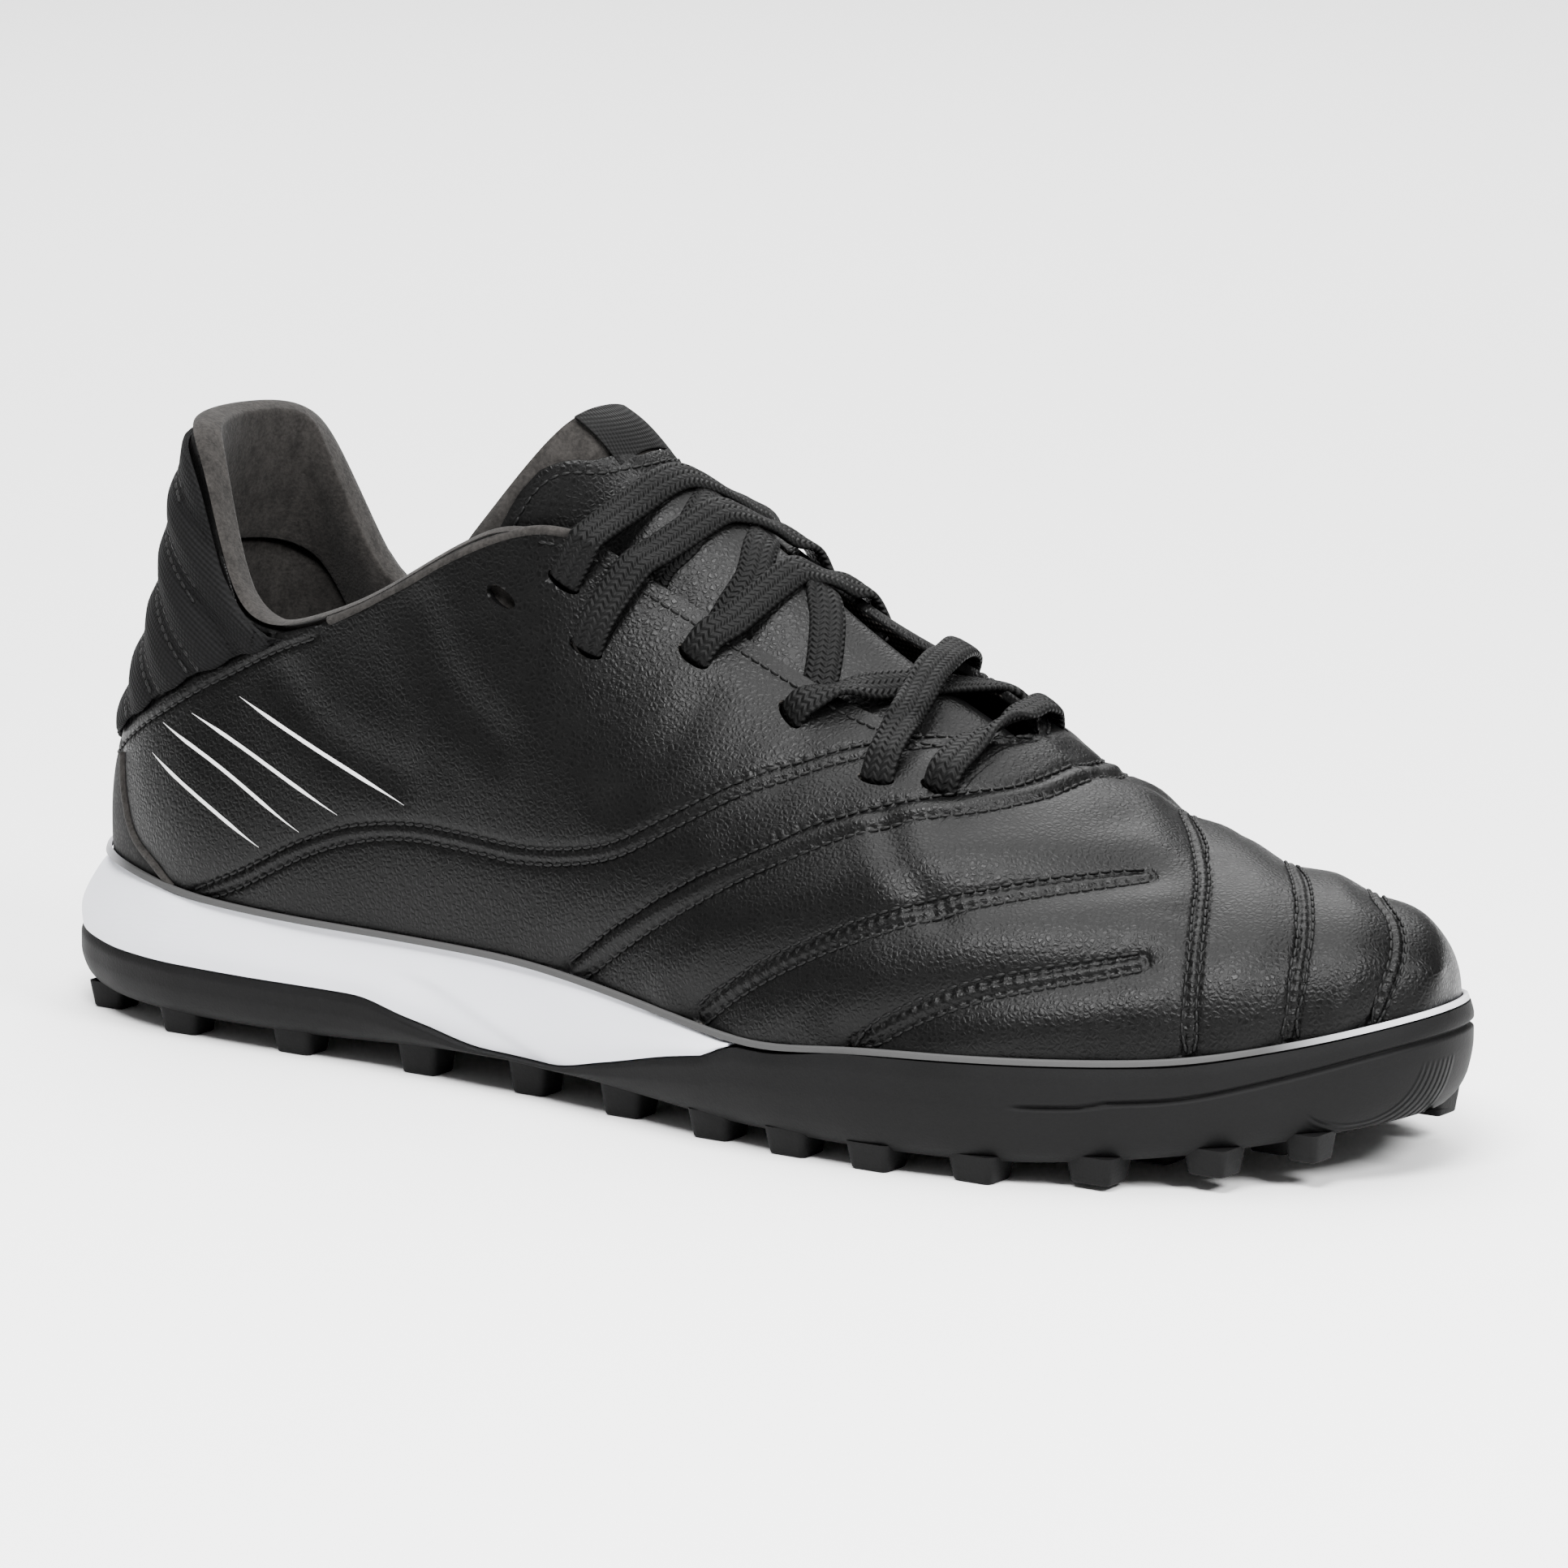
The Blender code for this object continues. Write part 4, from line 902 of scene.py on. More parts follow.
edge = closed_ring(plan_ring(0.0, HALF_AROUND))
centre = edge.mean(axis=0)
inward = np.gradient(edge, axis=0)
inward = lengths_one(np.column_stack([-inward[:, 1], inward[:, 0]]))
inward *= np.sign(((centre - edge) * inward).sum(axis=1, keepdims=True))
for i in range(cage.shape[0]):
    share = edge[i, 0] / LENGTH
    tall = outsole_top(share) - plate_line(share)
    for j in range(2, len(rises) - 2):
        off_groove = (rises[j] - groove_line(share)) * tall
        depth = GROOVE_DEPTH * smooth_step(0.80, 0.812, share) * math.exp(-((off_groove / GROOVE_WIDTH) ** 2))
        cage[i, j, :2] += inward[i] * depth
outsole = rolled("outsole_body", cage + SHIFT, 50)
settle(outsole, "outsole", "outsole_rubber", RUBBER)

# %% [markdown]
# One lug is modelled as a block: narrower at its tip, its upright corners cut and every edge softened.
# All the lugs are copies of it, each at its row's size, joined into one mesh.

# %% Lugs
def joined_copies(name, pattern, spots, frames):
    """One mesh with a copy of the pattern at each spot. A frame's columns are the copy's own axes."""
    shape = places(pattern)
    faces = [np.array(face.vertices[:]) for face in pattern.data.polygons]
    points = np.concatenate([spot + shape @ frame.T for spot, frame in zip(spots, frames)])
    all_faces = [tuple(face + k * len(shape)) for k in range(len(spots)) for face in faces]
    mesh = bpy.data.meshes.new(name)
    mesh.from_pydata([tuple(point) for point in points], [], all_faces)
    made = bpy.data.objects.new(name, mesh)
    bpy.context.scene.collection.objects.link(made)
    smooth(made, 60)
    return made


def discard(piece):
    only(piece)
    bpy.ops.object.delete()


bpy.ops.object.select_all(action="DESELECT")
bpy.ops.mesh.primitive_cube_add(size=1)
lug = bpy.context.object
lug.name = "lug_pattern"
in_edit(lug, "EDGE")
bpy.ops.mesh.select_all(action="DESELECT")
out_of_edit()
for line in lug.data.edges:
    first, second = (lug.data.vertices[k].co for k in line.vertices)
    line.select = abs(first.z - second.z) > 0.5
bpy.ops.object.mode_set(mode="EDIT")
bpy.ops.mesh.bevel(offset=0.16, segments=3)
bpy.ops.mesh.select_all(action="DESELECT")
out_of_edit()
for corner in lug.data.vertices:
    corner.select = corner.co.z < 0
bpy.context.tool_settings.mesh_select_mode = (True, False, False)
bpy.ops.object.mode_set(mode="EDIT")
bpy.ops.transform.resize(value=(LUG_TAPER, LUG_TAPER, 1))
bpy.ops.mesh.select_mode(type="EDGE")
bpy.ops.mesh.region_to_loop()
bpy.ops.mesh.bevel(offset=0.07, segments=2)
out_of_edit()

spots, frames = [], []
for share, across, long, wide in LUGS.rows:
    outer = outline_point(plan_turn(share), -1)[1] + LUG_INSET
    inner = outline_point(plan_turn(share), 1)[1] - LUG_INSET
    low, high = floor_line(share), plate_line(share) + LUG_SINK
    for y in np.linspace(outer, inner, int(across)):
        spots.append(np.array([share * LENGTH, y, (low + high) / 2]) + SHIFT)
        frames.append(np.diag([long, wide, high - low]))
lugs = joined_copies("lugs", lug, spots, frames)
discard(lug)
settle(lugs, "outsole", "outsole_rubber", LUG_RUBBER)

# %% [markdown]
# The midsole is white foam from the heel to the ball, where it runs out in a point. Its side leans in
# towards the upper at the heel, and a shallow scoop is pressed into its lower edge below the arch.

# %% Midsole
SCOOP_DEPTH = 0.9 * MM
midsole_turns = np.linspace(0, plan_turn(MIDSOLE_END - MIDSOLE_CUT), 121)


def scoop(share, rise):
    """How deep the scoop is, from its soft upper edge down."""
    edge = 0.62 - 0.55 * smooth_step(0.33, 0.47, share)
    along = smooth_step(0.315, 0.36, share) * (1 - smooth_step(0.43, 0.49, share))
    return SCOOP_DEPTH * along * (1 - smooth_step(edge - 0.10, edge + 0.02, rise))


def midsole_ring(rise, extra=0.0):
    def inset(share):
        lean = MIDSOLE_HEEL_LEAN * rise * rise * (1 - smooth_step(0.0, 0.16, share))
        return MIDSOLE_SIDE("inset", rise) + lean + scoop(share, rise) + extra

    def height(share):
        low = outsole_top(share) + GAP
        high = max(FEATHER("height", share), low + MIDSOLE_LEAST)
        return low + (high - low) * rise

    return lifted(open_ring(inset, midsole_turns), height)


def across_cut(ring):
    """The ring drawn in to the middle line, so that it closes the piece."""
    flat = ring.copy()
    count = len(ring)
    for k in range(count):
        other = ring[(count - k) % count]
        flat[k, 1] = (ring[k, 1] + other[1]) / 2
    return flat


levels = [midsole_ring(rise) for rise in np.linspace(0, 1, 21)]
top_ring = midsole_ring(1.0, 1.2 * MM)
stack = [across_cut(levels[0])] + levels + [top_ring, across_cut(top_ring)]
cage = np.array([closed_ring(ring) for ring in stack]).transpose(1, 0, 2)
midsole = rolled("midsole_foam", cage + SHIFT, 50)
settle(midsole, "midsole", "midsole_foam", FOAM)

rand = refined_copy("rand", "feather_band", 2)
settle(rand, "rand", "rand_rubber", BAND)
insole = refined_copy("insole", "insole_cloth", 2)
settle(insole, "insole", "insole_fabric", SOCK_CLOTH)

# %% [markdown]
# ## The upper
# The upper is cut from thin padded leather. Its copy is refined twice all over, the outer skin once
# more, and the places near a seam again, so that a stitched trough of a millimetre can be shaped. The
# seams are drawn on the outer side of the foot. The inner side, out of sight, gets the same ones
# mirrored, without the quilting that would cross the toe seams there.

# %% Refine the upper
SEAMS = {
    "wave": [(-101.2, -35.4, 27.7), (-88.1, -36.9, 33.4), (-76.3, -37.1, 39.5), (-63.2, -36.5, 44.4),
             (-49.9, -36.5, 46.4), (-38.1, -37.2, 46.3), (-22.6, -37.9, 45.5), (-11.0, -38.7, 46.7),
             (0.0, -38.8, 49.5), (11.3, -36.8, 55.8), (21.0, -32.8, 61.5), (33.6, -25.2, 66.9),
             (44.0, -18.5, 70.2), (55.0, -11.0, 72.0), (63.5, 1.1, 71.2)],
    "fold": [(-8.9, -40.4, 25.3), (2.5, -42.3, 33.9), (15.2, -42.3, 42.2), (30.5, -38.7, 50.9),
             (41.5, -34.1, 56.6), (53.7, -28.8, 60.8), (65.5, -20.5, 63.0), (72.6, -10.2, 64.4),
             (74.6, 1.7, 66.3)],
    "quilt_high": [(23.7, -46.7, 23.1), (34.7, -47.2, 31.3), (47.8, -45.7, 38.6), (62.7, -42.1, 45.0),
                   (75.0, -34.7, 48.9), (86.2, -25.8, 51.2), (97.9, -13.4, 52.4)],
    "quilt_low": [(59.6, -50.2, 22.5), (70.5, -48.4, 29.5), (81.4, -44.3, 34.5), (94.0, -37.6, 37.8),
                  (106.3, -29.1, 40.3)],
    "counter": [(-127.3, -24.7, 51.3), (-124.0, -27.9, 41.9), (-120.3, -29.9, 36.3), (-113.1, -32.7, 32.1),
                (-107.4, -34.2, 28.3)],
    "quarter": [(-131.8, -18.0, 51.0), (-128.1, -23.1, 54.2), (-113.0, -29.7, 63.1), (-101.1, -29.7, 69.8),
                (-87.5, -29.5, 76.6), (-76.0, -30.4, 81.0)],
}
TOE_SEAMS = {
    "toe_first": [(117.9, -31.3, 25.2), (115.5, -26.4, 38.5), (111.0, -17.2, 46.5), (105.5, -7.1, 51.5),
                  (97.1, 5.0, 55.8), (87.6, 16.6, 57.3), (80.0, 28.0, 50.0), (76.0, 37.0, 38.0),
                  (74.0, 42.0, 25.0)],
    "toe_second": [(131.5, -19.7, 27.7), (130.5, -15.6, 38.5), (127.7, -9.2, 44.3), (120.9, 1.3, 48.9),
                   (112.9, 12.3, 50.5), (104.0, 24.0, 46.0), (98.0, 33.0, 37.0), (95.0, 38.0, 26.0)],
    "toe_third": [(141.9, -8.2, 29.1), (142.7, -5.6, 34.6), (141.7, -0.7, 40.1), (136.8, 5.7, 44.2),
                  (131.8, 9.9, 45.8), (124.0, 18.5, 42.0), (118.0, 26.0, 35.0), (115.0, 31.0, 27.0)],
}
# Seams are mirrored about this Y, and a mirrored point moves further in by this share of its X
MIDDLE_Y = 1.8
INNER_DRIFT = 0.03
# A seam named here keeps only this many of its points when it is mirrored
INNER_POINTS = {"quilt_high": 4, "quilt_low": 0}


def mirrored(points):
    return [(x, 2 * MIDDLE_Y - y + INNER_DRIFT * x, z) for x, y, z in points]


def is_outer(centre, normal):
    """Faces that look away from the foot: away from a line that runs along its middle."""
    x = np.clip(centre[:, 0], -0.112, 0.118)
    core = np.column_stack([x, 0.004 + 0.03 * x, np.full(len(x), 0.040)])
    return ((centre - core) * normal).sum(axis=1) > 0


upper = refined_copy("upper", "leather_upper", 2)
tree = tree_of(upper, is_outer(*middles(upper)))
seam_lines = {}
for name, points in SEAMS.items():
    seam_lines[name + "_outer"] = lay_on(tree, smooth_line(points, 0.7))[0]
    inner = mirrored(points)[:INNER_POINTS.get(name, len(points))]
    if inner:
        seam_lines[name + "_inner"] = lay_on(tree, smooth_line(inner, 0.7))[0]
for name, points in TOE_SEAMS.items():
    seam_lines[name] = lay_on(tree, smooth_line(points, 0.7))[0]


def point_tree(spots):
    """For finding the nearest of some places."""
    found = KDTree(len(spots))
    for k, spot in enumerate(spots):
        found.insert(spot, k)
    found.balance()
    return found


def spot_tree(*names):
    """For finding the nearest place of some seams."""
    return point_tree(np.vstack([line for name, line in seam_lines.items() if name.startswith(names)]))


def far_from(found, spots):
    """Distance of each place to the nearest seam, in millimetres."""
    return np.array([found.find(spot)[2] for spot in spots]) / MM


def cut_finer(piece, chosen):
    pick_faces(piece, chosen)
    bpy.ops.mesh.subdivide(number_cuts=1, smoothness=0)
    bpy.ops.mesh.select_all(action="DESELECT")
    out_of_edit()


all_seams = spot_tree(*(list(SEAMS) + list(TOE_SEAMS)))
cut_finer(upper, is_outer(*middles(upper)))
centre, normal = middles(upper)
cut_finer(upper, is_outer(centre, normal) & (far_from(all_seams, centre) < 2.4))
print("faces of the upper", len(upper.data.polygons))

# %% [markdown]
# Each kind of seam has its own cross-section. A needle row is a narrow trough, a quilted seam also
# draws the padding down into a broad soft valley, and the fold stands up as a ridge between its rows.
# The creases where the shoe flexes and where the laces pull are short, soft troughs at listed places.

# %% Seams and creases
# How far the needle rows lie from the seam's own line, in millimetres
ROW_APART = {"wave": 1.45, "fold": 2.3, "quilt": 1.5, "toe": 1.1, "counter": 0.9, "quarter": 1.7}
# For each kind of seam: rise, distance from the seam and width of each hill or trough beside it
PROFILES = {
    "wave": [(-0.38, ROW_APART["wave"], 0.62), (0.16, 0, 0.7), (-0.35, 0, 4.0)],
    "fold": [(-0.45, ROW_APART["fold"], 0.65), (0.55, 0, 1.05), (-0.55, 0, 5.0), (0.25, 10, 4.0)],
    "quilt": [(-0.40, ROW_APART["quilt"], 0.60), (0.22, 0, 0.7), (-1.05, 0, 4.2), (0.55, 9.0, 4.5)],
    "toe": [(-0.40, ROW_APART["toe"], 0.50), (0.20, 0, 0.6), (-0.75, 0, 4.4), (0.35, 8.5, 4.0)],
    "counter": [(-0.25, 0, 1.4)],
}
QUARTER_TOP = 0.083
CREASES = [
    # points, depth, width
    ([(10, -27, 78), (6, -34, 68), (-2, -38, 58)], 0.35, 3.6),
    ([(31, -25, 71), (30, -33, 63), (24, -38, 55)], 0.25, 3.4),
    ([(52, -30, 61), (60, -36, 53), (72, -40, 46)], 0.45, 2.6),
    ([(-52, -31, 88), (-44, -35, 76), (-30, -37, 66)], 0.5, 4.0),
    ([(-84, -33, 72), (-70, -36, 62), (-52, -37, 57)], 0.45, 4.0),
    ([(68, 6, 66), (78, 14, 62), (84, 24, 54)], 0.5, 3.0),
]


def hill(distance, width):
    return np.exp(-((distance / width) ** 2))


spots, normals = places(upper), outward(upper)
outer = is_outer(spots, normals)
moved = np.zeros(len(spots))
for kind, hills in PROFILES.items():
    d = far_from(spot_tree(kind), spots)
    moved += sum(rise * hill(d - distance, width) for rise, distance, width in hills)
d = far_from(spot_tree("quarter"), spots)
moved += -0.35 * hill(d - ROW_APART["quarter"], 0.6) * (spots[:, 2] < QUARTER_TOP)
for points, depth, width in CREASES:
    line = lay_on(tree, smooth_line(points, 1.5))[0]
    d = far_from(point_tree(line), spots)
    moved += -depth * hill(d, width) + 0.35 * depth * hill(d - 2 * width, width)
put(upper, spots + normals * (moved * outer)[:, None] * MM)
tree = tree_of(upper, is_outer(*middles(upper)))

# %% [markdown]
# The lace holes are small slots punched through the leather. One cutter is modelled, copied to every
# place and subtracted. The top hole on this side is left free, as it is in the photo.

# %% Lace holes
NEAR_HOLES = {"free": (-33.7, -28.3, 91.1), "top": (-21.1, -26.5, 95.0), "second": (-14.5, -28.6, 83.6),
              "third": (5.0, -22.0, 83.4), "crossed": (25.6, -20.8, 74.9), "over": (47.2, -25.0, 66.0),
              "front": (59.2, -22.6, 65.9)}
FAR_HOLES = {"top": (-2.2, 21.5, 96.0), "second": (9.9, 20.0, 91.0), "third": (21.8, 18.6, 85.5),
             "over": (38.8, 18.5, 79.5), "crossed": (55.4, 16.6, 74.6), "front": (60.2, 16.4, 73.0)}
SLOT_LONG, SLOT_WIDE, SLOT_DEEP = 7.4 * MM, 3.0 * MM, 9 * MM
# The way that a lace in the free hole would go
FREE_HEADING = (3.1, 1.6, 6.2)
# The lace's runs from the near hole to the far one, as places along the lace's middle in millimetres
RUNS = {
    "top": [(-17.9, -24.9, 101.2), (-16.6, -23.5, 103.8), (-13.9, -12.6, 108.8), (-12.5, -7.2, 111.3),
            (-11.2, -1.7, 112.3), (-9.8, 3.7, 110.5), (-8.5, 9.1, 107.5), (-7.1, 14.5, 104.6),
            (-5.8, 19.2, 101.6)],
    "second": [(-12.1, -26.6, 90.1), (-8.8, -20.8, 98.2), (-7.1, -16.1, 100.4), (-5.4, -11.5, 102.7),
               (-3.7, -6.8, 105.0), (-2.0, -2.2, 106.7), (-0.3, 2.4, 105.5), (1.4, 7.1, 103.1),
               (3.1, 11.7, 100.6), (5.4, 16.4, 97.4)],
    "third": [(7.0, -19.0, 86.9), (9.1, -15.6, 88.9), (10.3, -11.8, 91.1), (11.4, -8.0, 93.3),
              (12.6, -4.2, 95.4), (13.8, -0.4, 97.0), (15.0, 3.4, 95.8), (16.2, 7.1, 94.2),
              (17.3, 10.9, 92.7), (18.7, 14.8, 90.8)],
    "crossed": [(28.0, -18.7, 76.9), (31.8, -14.1, 78.5), (36.1, -7.7, 78.7), (40.4, -1.3, 78.7),
                (44.7, 5.1, 78.0), (49.0, 11.0, 77.2), (52.2, 13.6, 76.0)],
    "over": [(47.2, -21.9, 69.8), (46.7, -18.0, 72.5), (46.2, -14.1, 74.9), (45.6, -10.8, 76.6),
             (44.8, -6.5, 78.9), (44.0, -2.2, 81.4), (43.0, 2.6, 82.6), (42.2, 7.0, 83.2),
             (41.3, 12.0, 83.6), (40.4, 15.3, 82.0)],
    "front": [(59.5, -19.9, 68.4), (59.6, -13.2, 71.4), (59.7, -8.6, 72.8), (59.8, -2.1, 73.6),
              (59.9, 4.4, 74.5), (60.0, 8.7, 75.1), (60.1, 13.0, 74.5)],
}


def slot_frame(place, heading):
    """The slot lies across the lace's heading and goes straight through the leather."""
    spot, normal, _, _ = tree.find_nearest(Vector(place) * MM)
    across = normal.cross(Vector(heading)).normalized()
    ahead = across.cross(normal).normalized()
    return np.array(spot), np.array([across, ahead, normal]).T


bpy.ops.object.select_all(action="DESELECT")
bpy.ops.mesh.primitive_cylinder_add(vertices=20, radius=0.5, depth=1)
punch = bpy.context.object
punch.name = "slot_punch"
hole_spots, hole_frames = [], []
for holes, first in ((NEAR_HOLES, 0), (FAR_HOLES, -1)):
    for name, place in holes.items():
        heading = FREE_HEADING if name == "free" else np.subtract(RUNS[name][first], place)
        spot, frame_here = slot_frame(place, heading)
        hole_spots.append(spot)
        hole_frames.append(frame_here * np.array([SLOT_LONG, SLOT_WIDE, SLOT_DEEP]))
punches = joined_copies("punches", punch, hole_spots, hole_frames)
discard(punch)
in_edit(punches)
bpy.ops.mesh.select_all(action="SELECT")
bpy.ops.mesh.normals_make_consistent(inside=False)
out_of_edit()
cut = upper.modifiers.new("lace_holes", "BOOLEAN")
cut.operation = "DIFFERENCE"
cut.solver = "MANIFOLD"
cut.object = punches
apply_all(upper)
discard(punches)
smooth(upper, 50)
print("faces with holes", len(upper.data.polygons))

# %% [markdown]
# The leather's finish needs to know where the needle rows run. Each point of the upper keeps how near
# it is to a row, from 0 to 1, and the millimetres along the seam that it lies beside.

# %% Mark the needle rows
spots, ahead, along, apart = [], [], [], []
for name, line in seam_lines.items():
    kind = name.split("_")[0]
    run = np.concatenate([[0], np.cumsum(np.linalg.norm(np.diff(line, axis=0), axis=1))]) / MM
    spots.append(line)
    ahead.append(ahead_of(line))
    along.append(run)
    apart.append(np.full(len(line), ROW_APART[kind] if kind != "counter" else 50.0))
spots, ahead, along, apart = (np.concatenate(found) for found in (spots, ahead, along, apart))
nearest = point_tree(spots)
points = places(upper)
found = [nearest.find(point) for point in points]
index = np.array([hit[1] for hit in found])
d = np.array([hit[2] for hit in found]) / MM
step = ((points - spots[index]) * ahead[index]).sum(axis=1) / MM
near_row = hill(d - apart[index], 0.60) * is_outer(points, outward(upper))
for name, values in (("needle_row", near_row), ("along_seam", along[index] + step)):
    mark = upper.data.attributes.new(name, "FLOAT", "POINT")
    mark.data.foreach_set("value", values.astype(np.float32))
print("points near a needle row", int((near_row > 0.5).sum()))

# %% [markdown]
# The outer skin is leather. The inner one is suede round the heel and a speckled mesh before it. Behind
# the cord at the heel the counter is covered with matt cloth.

# %% Upper finish
counter_finish = leather_finish("matt_counter", 0.0045, 0.60, 0.5, 0.10)
centre, normal = middles(upper)
outside = is_outer(centre, normal)
# Where the cord at the heel runs: its X at each height
cord_z = np.array([20.0, 28.3, 32.1, 36.3, 41.9, 51.3, 60.0]) * MM
cord_x = np.array([-104.0, -107.4, -113.1, -120.3, -124.0, -127.3, -128.5]) * MM
behind = outside & (centre[:, 0] < np.interp(centre[:, 2], cord_z, cord_x)) & (centre[:, 2] < 0.053)
# The slots in their order: 0 leather, 1 mesh, 2 the counter's cloth, 3 suede
SUEDE_ENDS = -0.040
lined = np.where(centre[:, 0] < SUEDE_ENDS, 3, 1)
indices = np.where(outside, np.where(behind, 2, 0), lined).astype(np.int32)
settle(upper, "upper", "upper_leather", LEATHER, MESH_LINING, counter_finish, SUEDE)
upper.data.polygons.foreach_set("material_index", indices)

# %% [markdown]
# A stitch is a short bead of thread with both ends sunk into the leather. All the stitches of a piece
# are copies of one bead, laid out along the needle rows.

# %% Stitches
STITCH_PITCH = 2.25
STITCH_LONG, STITCH_WIDE, STITCH_HIGH = 2.0 * MM, 0.72 * MM, 0.72 * MM


def row_beside(tree_here, line, apart):
    """A needle row at a distance beside a seam line, laid on the surface: places and directions away."""
    spots, normals = line, lay_on(tree_here, line / MM)[1]
    aside = lengths_one(np.cross(ahead_of(spots), normals))
    moved = spots + aside * apart * MM
    return smooth_line(lay_on(tree_here, moved / MM)[0] / MM, STITCH_PITCH)


def stitched(name, tree_here, rows, slot, node, sunk=0.12):
    bpy.ops.object.select_all(action="DESELECT")
    bpy.ops.mesh.primitive_uv_sphere_add(segments=6, ring_count=6, radius=0.5)
    bead = bpy.context.object
    in_edit(bead)
    bpy.ops.mesh.select_all(action="SELECT")
    bpy.ops.transform.rotate(value=math.radians(90), orient_axis="Y", center_override=(0, 0, 0))
    out_of_edit()
    spots_here, frames_here = [], []
    for row in rows:
        laid, normals = lay_on(tree_here, row)
        heading = ahead_of(laid)
        for place, ahead, normal in zip(laid, heading, normals):
            aside = np.cross(normal, ahead)
            aside /= np.linalg.norm(aside)
            spots_here.append(place + normal * sunk * MM)
            sizes = (ahead * STITCH_LONG, aside * STITCH_WIDE, normal * STITCH_HIGH)
            frames_here.append(np.column_stack(sizes))
    made = joined_copies(name, bead, spots_here, frames_here)
    discard(bead)
    return settle(made, node, slot, THREAD)


rows = []
for name, line in seam_lines.items():
    kind = name.split("_")[0]
    apart = ROW_APART[kind]
    if kind == "counter":
        continue
    if kind == "quarter":
        low = row_beside(tree, line, apart)
        high = row_beside(tree, line, -apart)
        rows.append(low if low[:, 2].mean() < high[:, 2].mean() else high)
        continue
    rows.append(row_beside(tree, line, apart))
    rows.append(row_beside(tree, line, -apart))


def throat_row(side, down):
    """A needle row below the throat's edge: the highest leather on one side at each place along it."""
    centre, normal = middles(upper)
    found = []
    spine = 0.0015 + 0.02 * centre[:, 0]
    for x in np.arange(-0.030, 0.059, 0.003):
        here = (abs(centre[:, 0] - x) < 0.0015) & (side * (centre[:, 1] - spine) > 0)
        here &= is_outer(centre, normal) & (centre[:, 2] > 0.055) & (normal[:, 2] > -0.2)
        picked = np.flatnonzero(here)
        if not len(picked):
            continue
        best = picked[np.argmax(-side * centre[picked, 1] + 0.3 * centre[picked, 2])]
        found.append(centre[best] + np.array([0, side * down * 0.8, -down * 0.6]) * MM)
    laid = np.array(found) / MM
    return smooth_line(lay_on(tree, smooth_line(averaged(laid, 1), STITCH_PITCH))[0] / MM, STITCH_PITCH)


THROAT_ROW_DOWN = 3.0
rows.append(throat_row(-1, THROAT_ROW_DOWN))
rows.append(throat_row(1, THROAT_ROW_DOWN))
stitched("seam_stitches", tree, rows, "upper_leather", "upper")

# %% [markdown]
# ## Laces
# The lace is one flat woven cord, 6.7 mm wide. What shows of it are the runs between its holes: each
# comes out of one hole, lies over the tongue and goes down into the next. Under the eyestays it is out
# of sight, so each run ends just inside its holes. Short pieces of the runs below show on the tongue.

# %% Lace runs
LACE_WIDE, LACE_HIGH = 6.7, 1.9
LACE_CORNERS = 20
# The lace's last places at a hole: how far back from it, and how high above the leather
PLUNGE = [(0.9, 0.1), (0.35, -1.3), (0.0, -3.2), (-0.4, -5.0)]


def ribbon_cage(line, ups):
    """Rings of an oval along a line: the cage, and for each point the place along and across."""
    ahead = ahead_of(line)
    aside = lengths_one(averaged(np.cross(ahead, ups), 2))
    upward = np.cross(aside, ahead)
    turns = np.linspace(0, 2 * math.pi, LACE_CORNERS + 1)
    wide = np.sign(np.cos(turns)) * np.abs(np.cos(turns)) ** 0.75 * LACE_WIDE / 2
    high = np.sign(np.sin(turns)) * np.abs(np.sin(turns)) ** 0.75 * LACE_HIGH / 2
    run = np.concatenate([[0], np.cumsum(np.linalg.norm(np.diff(line, axis=0), axis=1))])
    flat = line[None] + aside[None] * wide[:, None, None]
    cage = flat + upward[None] * high[:, None, None]
    cage = np.concatenate([flat[:, :1], cage, flat[:, -1:]], axis=1)
    run = np.concatenate([run[:1], run, run[-1:]])
    along = np.repeat(run[None], len(turns), axis=0)
    across = np.repeat((wide / LACE_WIDE)[:, None], len(run), axis=1)
    return cage * MM, along, across, run[-1]


def hole_end(name, holes, come_from):
    """The way into a hole: places and their ups, from its edge down inside the leather."""
    spot, normal, _, _ = tree.find_nearest(Vector(holes[name]) * MM)
    spot, normal = np.array(spot) / MM, np.array(normal)
    inward_now = spot - np.asarray(come_from)
    inward_now -= normal * (inward_now @ normal)
    inward_now /= np.linalg.norm(inward_now)
    points = [spot - inward_now * back_off + normal * height for back_off, height in PLUNGE]
    ups = [normal * max(0.0, 1 - k * 0.6) + inward_now * min(1.0, k * 0.6) for k in range(len(PLUNGE))]
    return points, ups


def body_up(point):
    """Away from the leather or the tongue, whichever is nearer."""
    best = None
    for found in (tree, tongue_tree):
        _, normal, _, distance = found.find_nearest(Vector(point) * MM)
        if best is None or distance < best[0]:
            best = (distance, np.array(normal))
    normal = best[1]
    return normal if normal[2] > -0.2 else -normal


